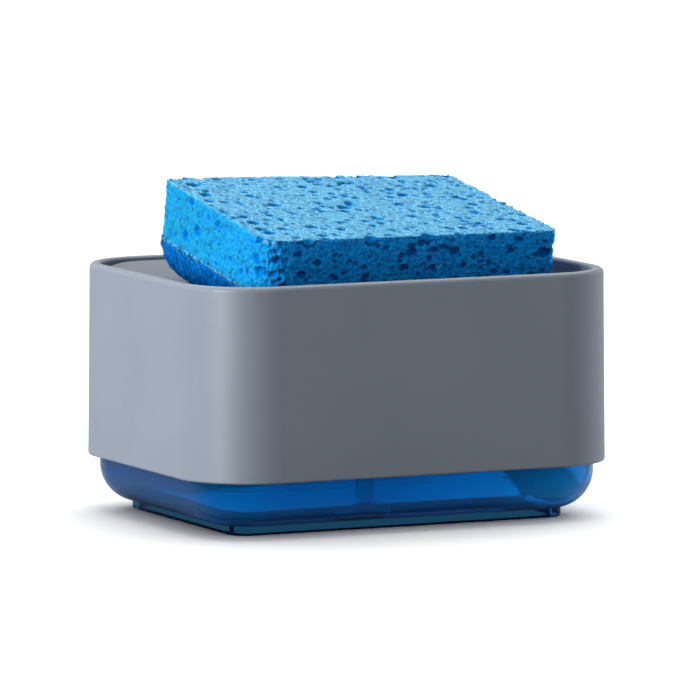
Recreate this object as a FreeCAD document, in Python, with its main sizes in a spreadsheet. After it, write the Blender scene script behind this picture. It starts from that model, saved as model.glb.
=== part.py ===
import FreeCAD, Part
import math
import os
import re
import Sketcher

# A caddy that doses soap into its own sponge. A clear tank stands under a grey sleeve, and the sponge lies
# on a sloping tray in the sleeve's mouth. Pressing the tray works a pump that hangs from the deck below it.
# The origin is on the surface that the caddy stands on, under the middle of its plan. X runs along the long
# side, Y from front to back and Z up. All lengths are in millimetres and all angles in degrees.

SIZES = {
    # Sleeve: its plan is measured at the rim, and it hangs down over the tank by its height
    "sleeve_width": 130,
    "sleeve_depth": 100,
    "sleeve_height": 55,
    "sleeve_corner_radius": 21,
    "sleeve_draft_angle": 0.55,
    "sleeve_foot_round": 0.6,
    "rim_outer_round": 1.3,
    "rim_inner_round": 0.9,
    "well_wall": 3.2,
    "skirt_wall": 2.3,
    "ledge_thickness": 4,
    "ledge_reach": 5.3,
    "ledge_corner_radius": 24,
    # Tank, its foot ring, the soap in it and the seal on its rim
    "tank_gap": 0.5,
    "tank_wall": 2.4,
    "tank_floor": 2.5,
    "tank_bottom_round": 11,
    "tank_rim_round": 0.5,
    "foot_height": 2.5,
    "foot_inset": 10,
    "foot_wall": 3,
    "foot_corner_radius": 6,
    "foot_round": 0.8,
    "soap_headroom": 3.5,
    "soap_film": 0.05,
    "soap_clearance": 0.4,
    "seal_thickness": 1,
    # Deck, with a cup round the pump's neck and two guides for the tray's posts
    "deck_gap": 0.35,
    "deck_thickness": 2.5,
    "cup_depth": 5,
    "cup_floor": 2.5,
    "cup_wall": 2.5,
    "cup_room": 4,
    "cup_lip": 2,
    "neck_height": 4.5,
    "neck_wall": 2.8,
    "neck_gap": 0.2,
    "guide_inset": 13.8,
    "guide_wall": 2,
    "guide_floor": 2,
    # Screws that hold the deck to the ledge
    "screw_inset": 9.6,
    "screw_diameter": 3,
    "screw_length": 6,
    "screw_gap": 0.1,
    "screw_head_diameter": 5.5,
    "screw_head_height": 1.9,
    "screw_head_round": 0.6,
    "screw_slot_length": 3.2,
    "screw_slot_width": 0.8,
    "screw_slot_depth": 1.1,
    "pilot_spare": 0.3,
    # Pump
    "cylinder_bore": 14.5,
    "cylinder_wall": 1.75,
    "flange_thickness": 1.5,
    "gasket_thickness": 0.8,
    "guide_cap_thickness": 1.2,
    "guide_cap_wall": 3,
    "guide_spigot_length": 3,
    "collar_roof": 1.5,
    "collar_wall": 2.3,
    "collar_hole": 13,
    "collar_foot_gap": 0.5,
    "collar_flute_diameter": 2,
    "collar_flute_count": 24,
    "thread_gap": 0.25,
    "snug_gap": 0.05,
    "stem_diameter": 7,
    "stem_bore": 3.6,
    "stem_gap": 0.15,
    "stem_flange_gap": 0.55,
    "stem_flange_thickness": 1,
    "piston_length": 5,
    "piston_gap": 0.1,
    "piston_stop_gap": 0.2,
    "piston_lip": 1,
    "piston_taper": 0.6,
    "piston_waist_cut": 0.9,
    "spring_wire": 0.9,
    "spring_gap": 0.7,
    "spring_closed_length": 4.4,
    "spring_turn_count": 4.5,
    "spring_seat_gap": 0.05,
    "cage_base_thickness": 1.2,
    "cage_gap": 0.45,
    "cage_roof": 1.2,
    "cage_hole_diameter": 2.2,
    "cage_hole_inset": 2.4,
    "cage_hole_count": 4,
    "ball_diameter": 4,
    "ball_lift": 1.2,
    "ball_seat_gap": 0.06,
    "ball_room": 0.6,
    "ball_spare": 0.2,
    "inlet_hole": 2.4,
    "seat_thickness": 2,
    "spigot_length": 4,
    "spigot_wall": 1.3,
    "tube_diameter": 6,
    "tube_wall": 1,
    "tube_shoulder": 1,
    "tube_floor_gap": 1.5,
    "tube_reach": 4.5,
    "tube_notch_width": 1.6,
    "tube_notch_height": 1.2,
    # Tray, with its posts, nozzle pocket and drain slots
    "press_stroke": 8,
    "press_spare": 1,
    "tray_gap": 0.4,
    "tray_wall": 2.2,
    "tray_front_height": 4.3,
    "tray_fall": 18.7,
    "tray_rear_drop": 1,
    "tray_edge_round": 0.8,
    "boss_wall": 2,
    "nozzle_diameter": 13,
    "nozzle_depth": 3.4,
    "nozzle_web": 0.9,
    "post_diameter": 5,
    "post_gap": 0.2,
    "post_engagement": 7,
    "drain_length": 8,
    "drain_width": 3,
    "drain_pitch": 12,
    "drain_count": 8,
    "drain_inset": 8.5,
    # Outlet valve in the nozzle pocket, and the ring that holds it
    "valve_thickness": 1.2,
    "valve_dome_height": 0.7,
    "valve_dome_diameter": 6.4,
    "valve_top_diameter": 3,
    "valve_wall": 0.6,
    "valve_slit_width": 0.25,
    "valve_gap": 0.1,
    "retainer_thickness": 0.9,
    "retainer_wall": 2.6,
    # Sponge, lying on the tray with its long side along X and turned a little
    "sponge_length": 94,
    "sponge_breadth": 62,
    "sponge_corner_radius": 8,
    "sponge_thickness": 17,
    "sponge_edge_round": 1,
    "pad_thickness": 10.2,
    "pad_round": 7,
    "pad_gap": 0.3,
    "sponge_shift_x": 3.1,
    "sponge_shift_y": 2,
    "sponge_yaw_angle": 4.3,
    # Every cut runs past the solid by this much
    "cut_overrun": 2,
}

# Sizes and heights above the surface that follow from the driving ones, as sheet formulas. The heights
# build up from the tank's floor through the pump to the tray, and the tray sets the rim.
LEVELS = {
    "well_width": "sleeve_width - 2 * well_wall",
    "well_depth": "sleeve_depth - 2 * well_wall",
    "well_radius": "sleeve_corner_radius - well_wall",
    "skirt_width": "sleeve_width - 2 * skirt_wall",
    "skirt_depth": "sleeve_depth - 2 * skirt_wall",
    "skirt_radius": "sleeve_corner_radius - skirt_wall",
    "tank_width": "skirt_width - 2 * tank_gap",
    "tank_depth": "skirt_depth - 2 * tank_gap",
    "tank_radius": "skirt_radius - tank_gap",
    "tank_inner_width": "tank_width - 2 * tank_wall",
    "tank_inner_depth": "tank_depth - 2 * tank_wall",
    "tank_inner_radius": "tank_radius - tank_wall",
    "tank_inner_round": "tank_bottom_round - tank_wall",
    "tank_floor_top": "foot_height + tank_floor",
    "tube_bottom": "tank_floor_top + tube_floor_gap",
    "spigot_bottom": "tube_bottom + tube_reach",
    "cylinder_bottom": "spigot_bottom + spigot_length",
    "tube_top": "cylinder_bottom - tube_shoulder",
    "bore_bottom": "cylinder_bottom + seat_thickness",
    "spring_bottom": "bore_bottom + cage_base_thickness",
    "stem_bottom": "spring_bottom + spring_closed_length + press_stroke",
    "piston_bottom": "stem_bottom + stem_flange_thickness",
    "piston_top": "piston_bottom + piston_length",
    "guide_spigot_bottom": "piston_top + piston_stop_gap",
    "flange_top": "guide_spigot_bottom + guide_spigot_length",
    "flange_bottom": "flange_top - flange_thickness",
    "neck_top": "flange_bottom - gasket_thickness",
    "cup_floor_top": "neck_top - neck_height",
    "cup_bottom": "cup_floor_top - cup_floor",
    "deck_top": "cup_floor_top + cup_depth",
    "ledge_top": "deck_top - deck_thickness",
    "ledge_bottom": "ledge_top - ledge_thickness",
    "tank_rim": "ledge_bottom - seal_thickness",
    "soap_level": "tank_rim - soap_headroom",
    "guide_cap_top": "flange_top + guide_cap_thickness",
    "collar_top": "guide_cap_top + collar_roof",
    "screw_x": "well_width / 2 - screw_inset",
    "screw_y": "well_depth / 2 - screw_inset",
    "cylinder_radius": "cylinder_bore / 2 + cylinder_wall",
    "neck_bore_radius": "cylinder_radius + neck_gap",
    "neck_radius": "neck_bore_radius + neck_wall",
    "collar_bore_radius": "neck_radius + thread_gap",
    "collar_radius": "collar_bore_radius + collar_wall",
    "cup_radius": "collar_radius + cup_room",
    "spring_radius": "cylinder_bore / 2 - spring_gap - spring_wire / 2",
    "ball_height": "cylinder_bottom - inlet_hole / 2 + (ball_diameter / 2 + ball_seat_gap) * sqrt(2)",
    "cage_radius": "spring_radius - spring_wire / 2 - cage_gap",
    "ball_well_radius": "ball_diameter / 2 + ball_room",
    "cage_ceiling": "ball_height + ball_diameter / 2 + ball_lift + ball_spare",
    "tube_socket_radius": "tube_diameter / 2 + snug_gap",
    "tray_width": "well_width - 2 * tray_gap",
    "tray_depth": "well_depth - 2 * tray_gap",
    "tray_radius": "well_radius - tray_gap",
    "tray_rise_share": "tray_fall / tray_depth",
    "tray_slant_share": "sqrt(1 + tray_rise_share * tray_rise_share)",
    "plate_rise": "tray_wall * tray_slant_share",
    "tray_bottom": "deck_top + press_stroke + press_spare",
    "tray_middle": "tray_bottom + tray_front_height + tray_fall / 2",
    "rim_height": "tray_bottom + tray_front_height + tray_fall + tray_rear_drop",
    "sleeve_lift": "rim_height - sleeve_height",
    "boss_bottom": "collar_top + press_stroke + press_spare",
    "guide_x": "well_width / 2 - guide_inset",
    "guide_top": "tray_middle - plate_rise - press_stroke - press_spare",
    "post_bottom": "guide_top - post_engagement",
    "guide_well_bottom": "post_bottom - press_stroke - press_spare",
    "nozzle_floor": "tray_middle - nozzle_depth",
    "stem_top": "nozzle_floor - nozzle_web",
    "valve_top": "nozzle_floor + valve_thickness",
    "drain_y": "drain_inset - tray_depth / 2",
}

# How a sketch counts the points of a line or arc, and its own origin and axes
START_INDEX, END_INDEX, CENTRE_INDEX = 1, 2, 3
ORIGIN_INDEX, X_AXIS_INDEX, Y_AXIS_INDEX = -1, -1, -2
ALIAS = re.compile(r"\b[a-z]+(?:_[a-z]+)+\b")

document = FreeCAD.newDocument("soap_pump_caddy")


def in_sheets(formula):
    """Turns the plain names in a formula into references to the two sheets."""
    return ALIAS.sub(lambda found: ("Sizes." if found[0] in SIZES else "Levels.") + found[0], formula)


def fill_sheet(name, entries):
    """Writes one named entry per row, its name in column A and its value in column B."""
    sheet = document.addObject("Spreadsheet::Sheet", name)
    for row, (alias, content) in enumerate(entries.items(), start=1):
        sheet.set(f"A{row}", alias)
        sheet.set(f"B{row}", content)
        sheet.setAlias(f"B{row}", alias)
    document.recompute()
    return sheet


sizes = fill_sheet("Sizes", {alias: str(value) for alias, value in SIZES.items()})
levels = fill_sheet("Levels", {alias: "=" + in_sheets(formula) for alias, formula in LEVELS.items()})


def number(formula):
    """Present value of a formula in sheet names."""
    return float(sizes.evalExpression(in_sheets(formula)))


def bind(item, formula, *properties):
    """Ties properties of a document object to one formula in sheet names."""
    for name in properties:
        item.setExpression(name, in_sheets(formula))


def new_body(name):
    return document.addObject("PartDesign::Body", name)


def new_sketch(body, role="XY_Plane", height=None):
    """Adds a sketch on one of the body's origin planes, raised by a formula where one is given."""
    sketch = body.newObject("Sketcher::SketchObject", body.Name + "_sketch")
    plane = next(item for item in body.Origin.OriginFeatures if item.Role == role)
    sketch.AttachmentSupport = (plane, [""])
    sketch.MapMode = "FlatFace"
    if height:
        bind(sketch, height, "AttachmentOffset.Base.z")
    return sketch


def constrain(sketch, formula, kind, *parts):
    """Adds a driving dimension and ties it to a formula."""
    index = sketch.addConstraint(Sketcher.Constraint(kind, *parts, number(formula)))
    bind(sketch, formula, f"Constraints[{index}]")


def hold_point(sketch, shape, point, place):
    """Fixes a point of a sketch at a pair of formulas measured from the sketch's origin."""
    for kind, zero_axis, formula in zip(("DistanceX", "DistanceY"), (Y_AXIS_INDEX, X_AXIS_INDEX), place):
        value = number(formula)
        if value == 0:
            sketch.addConstraint(Sketcher.Constraint("PointOnObject", shape, point, zero_axis))
        elif value > 0:
            constrain(sketch, formula, kind, ORIGIN_INDEX, START_INDEX, shape, point)
        else:
            constrain(sketch, f"-({formula})", kind, shape, point, ORIGIN_INDEX, START_INDEX)


def draw_polygon(sketch, places):
    """Closed outline of straight lines through pairs of formulas."""
    corners = [FreeCAD.Vector(number(x), number(y), 0) for x, y in places]
    ends = corners[1:] + corners[:1]
    lines = [sketch.addGeometry(Part.LineSegment(*pair)) for pair in zip(corners, ends)]
    for line, following, place in zip(lines, lines[1:] + lines[:1], places):
        sketch.addConstraint(Sketcher.Constraint("Coincident", line, END_INDEX, following, START_INDEX))
        hold_point(sketch, line, START_INDEX, place)


def draw_circles(sketch, places, diameter):
    """Circles of one diameter round pairs of formulas."""
    for x, y in places:
        centre = FreeCAD.Vector(number(x), number(y), 0)
        circle = sketch.addGeometry(Part.Circle(centre, FreeCAD.Vector(0, 0, 1), number(diameter) / 2))
        hold_point(sketch, circle, CENTRE_INDEX, (x, y))
        constrain(sketch, diameter, "Diameter", circle)


def draw_rounded_rectangle(sketch, width, depth, radius):
    """Rectangle with rounded corners, centred on the sketch's origin."""
    half_x, half_y, round_size = number(width) / 2, number(depth) / 2, number(radius)
    flat_x, flat_y = half_x - round_size, half_y - round_size
    runs = [
        ((-flat_x, -half_y), (flat_x, -half_y)),
        ((half_x, -flat_y), (half_x, flat_y)),
        ((flat_x, half_y), (-flat_x, half_y)),
        ((-half_x, flat_y), (-half_x, -flat_y)),
    ]
    centres = [(flat_x, -flat_y), (flat_x, flat_y), (-flat_x, flat_y), (-flat_x, -flat_y)]
    lines = []
    arcs = []
    for (start, end), centre, turn in zip(runs, centres, (-1, 0, 1, 2)):
        lines.append(sketch.addGeometry(Part.LineSegment(FreeCAD.Vector(*start), FreeCAD.Vector(*end))))
        circle = Part.Circle(FreeCAD.Vector(*centre), FreeCAD.Vector(0, 0, 1), round_size)
        corner = Part.ArcOfCircle(circle, turn * math.pi / 2, (turn + 1) * math.pi / 2)
        arcs.append(sketch.addGeometry(corner))
    for line, arc, following in zip(lines, arcs, lines[1:] + lines[:1]):
        sketch.addConstraint(Sketcher.Constraint("Tangent", line, END_INDEX, arc, START_INDEX))
        sketch.addConstraint(Sketcher.Constraint("Tangent", arc, END_INDEX, following, START_INDEX))
    bottom, right, top, left = lines
    for direction, pair in (("Horizontal", (bottom, top)), ("Vertical", (right, left))):
        for line in pair:
            sketch.addConstraint(Sketcher.Constraint(direction, line))
    for arc, following in zip(arcs, arcs[1:]):
        sketch.addConstraint(Sketcher.Constraint("Equal", arc, following))
    opposite = (arcs[0], CENTRE_INDEX, arcs[2], CENTRE_INDEX)
    sketch.addConstraint(Sketcher.Constraint("Symmetric", *opposite, ORIGIN_INDEX, START_INDEX))
    constrain(sketch, width, "DistanceX", left, START_INDEX, right, START_INDEX)
    constrain(sketch, depth, "DistanceY", bottom, START_INDEX, top, START_INDEX)
    constrain(sketch, radius, "Radius", arcs[0])


def draw_slot(sketch, x, y, length, width):
    """Slot with round ends that runs along Y, centred on a pair of formulas."""
    middle, radius = number(x), number(width) / 2
    high = f"{y} + ({length} - {width}) / 2"
    low = f"{y} - ({length} - {width}) / 2"
    arcs = []
    for centre, turn in ((high, 0), (low, 1)):
        circle = Part.Circle(FreeCAD.Vector(middle, number(centre), 0), FreeCAD.Vector(0, 0, 1), radius)
        arcs.append(sketch.addGeometry(Part.ArcOfCircle(circle, turn * math.pi, (turn + 1) * math.pi)))
        hold_point(sketch, arcs[-1], CENTRE_INDEX, (x, centre))
    sides = []
    for edge, begin, finish in ((middle - radius, high, low), (middle + radius, low, high)):
        ends = [FreeCAD.Vector(edge, number(place), 0) for place in (begin, finish)]
        sides.append(sketch.addGeometry(Part.LineSegment(*ends)))
    ring = [arcs[0], sides[0], arcs[1], sides[1]]
    for piece, following in zip(ring, ring[1:] + ring[:1]):
        sketch.addConstraint(Sketcher.Constraint("Tangent", piece, END_INDEX, following, START_INDEX))
    sketch.addConstraint(Sketcher.Constraint("Equal", *arcs))
    constrain(sketch, f"{width} / 2", "Radius", arcs[0])


def four_sides(half_x, half_y):
    """Corners of a rectangle about the origin, in order."""
    return [(f"-{half_x}", f"-{half_y}"), (half_x, f"-{half_y}"), (half_x, half_y), (f"-{half_x}", half_y)]


def add_feature(body, kind, sketch, length=None, upward=True):
    """Pads or pockets a sketch up or down by a formula, or through everything where none is given."""
    feature = body.newObject("PartDesign::" + kind, body.Name + "_" + kind.lower())
    feature.Profile = sketch
    feature.Reversed = upward == (kind == "Pocket")
    if length:
        bind(feature, length, "Length")
    else:
        feature.Type = "ThroughAll"
    document.recompute()
    return feature


def add_turning(body, kind, places):
    """Turns an outline of radius and height formulas about the Z axis, adding or cutting."""
    sketch = new_sketch(body, "XZ_Plane")
    draw_polygon(sketch, places)
    feature = body.newObject("PartDesign::" + kind, body.Name + "_" + kind.lower())
    feature.Profile = sketch
    feature.ReferenceAxis = (sketch, ["V_Axis"])
    feature.Angle = 360
    document.recompute()
    return feature


def turned_body(name, places):
    body = new_body(name)
    add_turning(body, "Revolution", places)
    return body


def edges_where(feature, wanted):
    """Names of a feature's edges that a test picks."""
    return [f"Edge{count}" for count, edge in enumerate(feature.Shape.Edges, start=1) if wanted(edge)]


def at_height(formula):
    """Test for edges that lie flat at one height."""
    height = number(formula)

    def test(edge):
        box = edge.BoundBox
        return math.isclose(box.ZMin, height, abs_tol=1e-4) and math.isclose(box.ZMax, height, abs_tol=1e-4)

    return test


def round_edges(body, wanted, radius):
    """Fillets the picked edges of the body's last feature."""
    base = body.Tip
    feature = body.newObject("PartDesign::Fillet", body.Name + "_round")
    feature.Base = (base, edges_where(base, wanted))
    bind(feature, radius, "Radius")
    document.recompute()
    return feature


def repeat_round(body, feature, count):
    """Repeats a feature about the Z axis."""
    pattern = body.newObject("PartDesign::PolarPattern", body.Name + "_ring")
    pattern.Originals = [feature]
    axis = next(item for item in body.Origin.OriginFeatures if item.Role == "Z_Axis")
    pattern.Axis = (axis, [""])
    pattern.Angle = 360
    bind(pattern, count, "Occurrences")
    body.Tip = pattern
    document.recompute()
    return pattern


def four_corners(x, y):
    """The places of one feature in each quarter of the plan."""
    return [(f"{sign_x}{x}", f"{sign_y}{y}") for sign_x in ("", "-") for sign_y in ("", "-")]


def make_outer_sleeve():
    """Grey shell with a deep well for the tray above an inner ledge and a skirt for the tank below it."""
    body = new_body("outer_sleeve")
    plan = new_sketch(body, height="rim_height")
    draw_rounded_rectangle(plan, "sleeve_width", "sleeve_depth", "sleeve_corner_radius")
    shell = add_feature(body, "Pad", plan, "sleeve_height", upward=False)
    bind(shell, "sleeve_draft_angle", "TaperAngle")
    document.recompute()
    round_edges(body, at_height("rim_height"), "rim_outer_round")
    round_edges(body, at_height("sleeve_lift"), "sleeve_foot_round")
    well = new_sketch(body, height="rim_height")
    draw_rounded_rectangle(well, "well_width", "well_depth", "well_radius")
    add_feature(body, "Pocket", well, "rim_height - ledge_top", upward=False)
    skirt = new_sketch(body, height="sleeve_lift")
    draw_rounded_rectangle(skirt, "skirt_width", "skirt_depth", "skirt_radius")
    add_feature(body, "Pocket", skirt, "ledge_bottom - sleeve_lift")
    opening = new_sketch(body, height="ledge_top")
    draw_rounded_rectangle(
        opening, "well_width - 2 * ledge_reach", "well_depth - 2 * ledge_reach", "ledge_corner_radius"
    )
    add_feature(body, "Pocket", opening, "ledge_thickness + cut_overrun", upward=False)
    pilots = new_sketch(body, height="ledge_top")
    draw_circles(pilots, four_corners("screw_x", "screw_y"), "screw_diameter + screw_gap")
    add_feature(body, "Pocket", pilots, "screw_length - deck_thickness + pilot_spare", upward=False)
    on_rim = at_height("rim_height")
    inner_x = number("(well_width + well_wall) / 2")

    def inner_rim(edge):
        return on_rim(edge) and max(abs(edge.BoundBox.XMin), abs(edge.BoundBox.XMax)) < inner_x

    round_edges(body, inner_rim, "rim_inner_round")
    return body


def make_reservoir():
    """Clear tank with a large round along its bottom edge, on a foot ring."""
    body = new_body("reservoir")
    plan = new_sketch(body, height="foot_height")
    draw_rounded_rectangle(plan, "tank_width", "tank_depth", "tank_radius")
    add_feature(body, "Pad", plan, "tank_rim - foot_height")
    hollow = new_sketch(body, height="tank_rim")
    draw_rounded_rectangle(hollow, "tank_inner_width", "tank_inner_depth", "tank_inner_radius")
    add_feature(body, "Pocket", hollow, "tank_rim - tank_floor_top", upward=False)
    round_edges(body, at_height("tank_floor_top"), "tank_inner_round")
    round_edges(body, at_height("foot_height"), "tank_bottom_round")
    round_edges(body, at_height("tank_rim"), "tank_rim_round")
    foot = new_sketch(body)
    foot_width = "tank_width - 2 * foot_inset"
    foot_depth = "tank_depth - 2 * foot_inset"
    draw_rounded_rectangle(foot, foot_width, foot_depth, "foot_corner_radius")
    draw_rounded_rectangle(
        foot,
        f"{foot_width} - 2 * foot_wall",
        f"{foot_depth} - 2 * foot_wall",
        "foot_corner_radius - foot_wall",
    )
    add_feature(body, "Pad", foot, "foot_height + tank_floor / 2")
    round_edges(body, at_height("0"), "foot_round")
    return body


def make_soap():
    """Liquid that fills the tank to soap_level, with room for the pump to be lifted out."""
    body = new_body("soap")
    plan = new_sketch(body, height="tank_floor_top + soap_film")
    draw_rounded_rectangle(
        plan,
        "tank_inner_width - 2 * soap_film",
        "tank_inner_depth - 2 * soap_film",
        "tank_inner_radius - soap_film",
    )
    add_feature(body, "Pad", plan, "soap_level - tank_floor_top - soap_film")
    round_edges(body, at_height("tank_floor_top + soap_film"), "tank_inner_round")
    cylinder = "cylinder_radius + soap_clearance"
    spigot = "tube_socket_radius + spigot_wall + soap_clearance"
    tube = "tube_diameter / 2 + soap_clearance"
    add_turning(
        body,
        "Groove",
        [
            ("0", "tube_bottom - soap_clearance"),
            (tube, "tube_bottom - soap_clearance"),
            (tube, "spigot_bottom - soap_clearance"),
            (spigot, "spigot_bottom - soap_clearance"),
            (spigot, "cylinder_bottom - soap_clearance"),
            (cylinder, "cylinder_bottom - soap_clearance"),
            (cylinder, "soap_level + cut_overrun"),
            ("0", "soap_level + cut_overrun"),
        ],
    )
    return body


def make_tank_seal():
    """Flat seal between the ledge and the tank's rim."""
    body = new_body("tank_seal")
    plan = new_sketch(body, height="tank_rim")
    draw_rounded_rectangle(plan, "tank_width", "tank_depth", "tank_radius")
    draw_rounded_rectangle(plan, "tank_inner_width", "tank_inner_depth", "tank_inner_radius")
    add_feature(body, "Pad", plan, "seal_thickness")
    return body


def make_pump_deck():
    """Plate on the ledge, with a lipped cup round the pump's neck and a blind guide for each tray post."""
    body = new_body("pump_deck")
    plate = new_sketch(body, height="ledge_top")
    draw_rounded_rectangle(
        plate, "well_width - 2 * deck_gap", "well_depth - 2 * deck_gap", "well_radius - deck_gap"
    )
    add_feature(body, "Pad", plate, "deck_thickness")
    mouth = new_sketch(body, height="deck_top")
    draw_circles(mouth, [("0", "0")], "2 * cup_radius")
    add_feature(body, "Pocket", mouth, upward=False)
    add_turning(
        body,
        "Revolution",
        [
            ("neck_bore_radius", "cup_bottom"),
            ("cup_radius + cup_wall", "cup_bottom"),
            ("cup_radius + cup_wall", "deck_top + cup_lip"),
            ("cup_radius", "deck_top + cup_lip"),
            ("cup_radius", "cup_floor_top"),
            ("neck_radius", "cup_floor_top"),
            ("neck_radius", "neck_top"),
            ("neck_bore_radius", "neck_top"),
        ],
    )
    guide_places = [("guide_x", "0"), ("-guide_x", "0")]
    guide_bore = "post_diameter + 2 * post_gap"
    guides = new_sketch(body, height="guide_well_bottom - guide_floor")
    draw_circles(guides, guide_places, f"{guide_bore} + 2 * guide_wall")
    add_feature(body, "Pad", guides, "guide_top - guide_well_bottom + guide_floor")
    bores = new_sketch(body, height="guide_top")
    draw_circles(bores, guide_places, guide_bore)
    add_feature(body, "Pocket", bores, "guide_top - guide_well_bottom", upward=False)
    holes = new_sketch(body, height="deck_top")
    draw_circles(holes, four_corners("screw_x", "screw_y"), "screw_diameter + 2 * screw_gap")
    add_feature(body, "Pocket", holes, upward=False)
    return body


def make_screw(name, x, y):
    """Pan-head screw with a crossed slot."""
    body = turned_body(
        name,
        [
            ("0", "deck_top - screw_length"),
            ("screw_diameter / 2", "deck_top - screw_length"),
            ("screw_diameter / 2", "deck_top"),
            ("screw_head_diameter / 2", "deck_top"),
            ("screw_head_diameter / 2", "deck_top + screw_head_height - screw_head_round"),
            ("screw_head_diameter / 2 - screw_head_round", "deck_top + screw_head_height"),
            ("0", "deck_top + screw_head_height"),
        ],
    )
    slot_sides = ("screw_slot_length / 2", "screw_slot_width / 2")
    for sides in (slot_sides, slot_sides[::-1]):
        slot = new_sketch(body, height="deck_top + screw_head_height")
        draw_polygon(slot, four_sides(*sides))
        add_feature(body, "Pocket", slot, "screw_slot_depth", upward=False)
    bind(body, x, "Placement.Base.x")
    bind(body, y, "Placement.Base.y")
    return body


def make_deck_screws():
    """The four deck screws, one group of separate solids."""
    group = document.addObject("Part::Compound", "deck_screws")
    corners = four_corners("screw_x", "screw_y")
    group.Links = [make_screw(f"screw_{count}", *place) for count, place in enumerate(corners, start=1)]
    return group


def make_pump_collar():
    """Fluted closure that clamps the pump's flange on the neck."""
    body = turned_body(
        "pump_collar",
        [
            ("collar_bore_radius", "cup_floor_top + collar_foot_gap"),
            ("collar_radius", "cup_floor_top + collar_foot_gap"),
            ("collar_radius", "collar_top"),
            ("collar_hole / 2", "collar_top"),
            ("collar_hole / 2", "guide_cap_top"),
            ("collar_bore_radius", "guide_cap_top"),
        ],
    )
    flute = new_sketch(body, height="collar_top")
    draw_circles(flute, [("collar_radius + collar_flute_diameter / 4", "0")], "collar_flute_diameter")
    cut = add_feature(body, "Pocket", flute, upward=False)
    repeat_round(body, cut, "collar_flute_count")
    return body


def make_collar_gasket():
    """Washer between the neck and the pump's flange."""
    return turned_body(
        "collar_gasket",
        [
            ("neck_bore_radius", "neck_top"),
            ("neck_radius", "neck_top"),
            ("neck_radius", "flange_bottom"),
            ("neck_bore_radius", "flange_bottom"),
        ],
    )


def make_pump_cylinder():
    """Chamber with its flange, the inlet ball's cone seat and the spigot for the tube."""
    spigot = "tube_socket_radius + spigot_wall"
    cone_top = "cylinder_bottom + ball_well_radius - inlet_hole / 2"
    return turned_body(
        "pump_cylinder",
        [
            ("tube_socket_radius", "spigot_bottom"),
            (spigot, "spigot_bottom"),
            (spigot, "cylinder_bottom"),
            ("cylinder_radius", "cylinder_bottom"),
            ("cylinder_radius", "flange_bottom"),
            ("neck_radius", "flange_bottom"),
            ("neck_radius", "flange_top"),
            ("cylinder_bore / 2", "flange_top"),
            ("cylinder_bore / 2", "bore_bottom"),
            ("ball_well_radius", "bore_bottom"),
            ("ball_well_radius", cone_top),
            ("inlet_hole / 2", "cylinder_bottom"),
            ("inlet_hole / 2", "tube_top"),
            ("tube_socket_radius", "tube_top"),
        ],
    )


def make_stem_guide():
    """Cap in the chamber's mouth that guides the stem and stops the piston."""
    bore = "stem_diameter / 2 + stem_gap"
    spigot = "cylinder_bore / 2 - snug_gap"
    brim = "cylinder_bore / 2 + guide_cap_wall"
    return turned_body(
        "stem_guide",
        [
            (bore, "guide_spigot_bottom"),
            (spigot, "guide_spigot_bottom"),
            (spigot, "flange_top"),
            (brim, "flange_top"),
            (brim, "guide_cap_top"),
            (bore, "guide_cap_top"),
        ],
    )


def make_pump_stem():
    """Hollow stem from the spring's seat up into the tray."""
    brim = "cylinder_bore / 2 - stem_flange_gap"
    return turned_body(
        "pump_stem",
        [
            ("stem_bore / 2", "stem_bottom"),
            (brim, "stem_bottom"),
            (brim, "piston_bottom"),
            ("stem_diameter / 2", "piston_bottom"),
            ("stem_diameter / 2", "stem_top"),
            ("stem_bore / 2", "stem_top"),
        ],
    )


def make_piston():
    """Piston with a lip at each end and a waist between them."""
    bore = "stem_diameter / 2 + snug_gap"
    lip = "cylinder_bore / 2 - piston_gap"
    waist = f"{lip} - piston_waist_cut"
    return turned_body(
        "piston",
        [
            (bore, "piston_bottom"),
            (lip, "piston_bottom"),
            (lip, "piston_bottom + piston_lip"),
            (waist, "piston_bottom + piston_lip + piston_taper"),
            (waist, "piston_top - piston_lip - piston_taper"),
            (lip, "piston_top - piston_lip"),
            (lip, "piston_top"),
            (bore, "piston_top"),
        ],
    )


def helix_point(radius, pitch, base, angle):
    """Point and unit direction of a helix about the Z axis at an angle in radians."""
    x, y = radius * math.cos(angle), radius * math.sin(angle)
    point = FreeCAD.Vector(x, y, base + pitch * angle / math.tau)
    run = FreeCAD.Vector(-y, x, pitch / math.tau)
    return point, run.normalize()


def arc_from(start, direction, end):
    """Arc that leaves a point along a direction and reaches another point."""
    chord = end - start
    lean = direction.getAngle(chord) / 2
    sideways = (direction - chord * (direction.dot(chord) / chord.dot(chord))).normalize()
    middle = start + chord / 2 + sideways * (chord.Length / 2 * math.tan(lean))
    return Part.Arc(start, middle, end).toShape()


def biarc(start, start_run, end, end_run):
    """Two tangent arcs between two points with given directions."""
    gap = end - start
    both = start_run + end_run
    spread = 2 * (1 - start_run.dot(end_run))
    along = gap.dot(both)
    reach = (math.sqrt(along * along + spread * gap.dot(gap)) - along) / spread
    joint = (start + start_run * reach + end - end_run * reach) / 2
    return [arc_from(start, start_run, joint), arc_from(end, end_run * -1, joint)]


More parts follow.
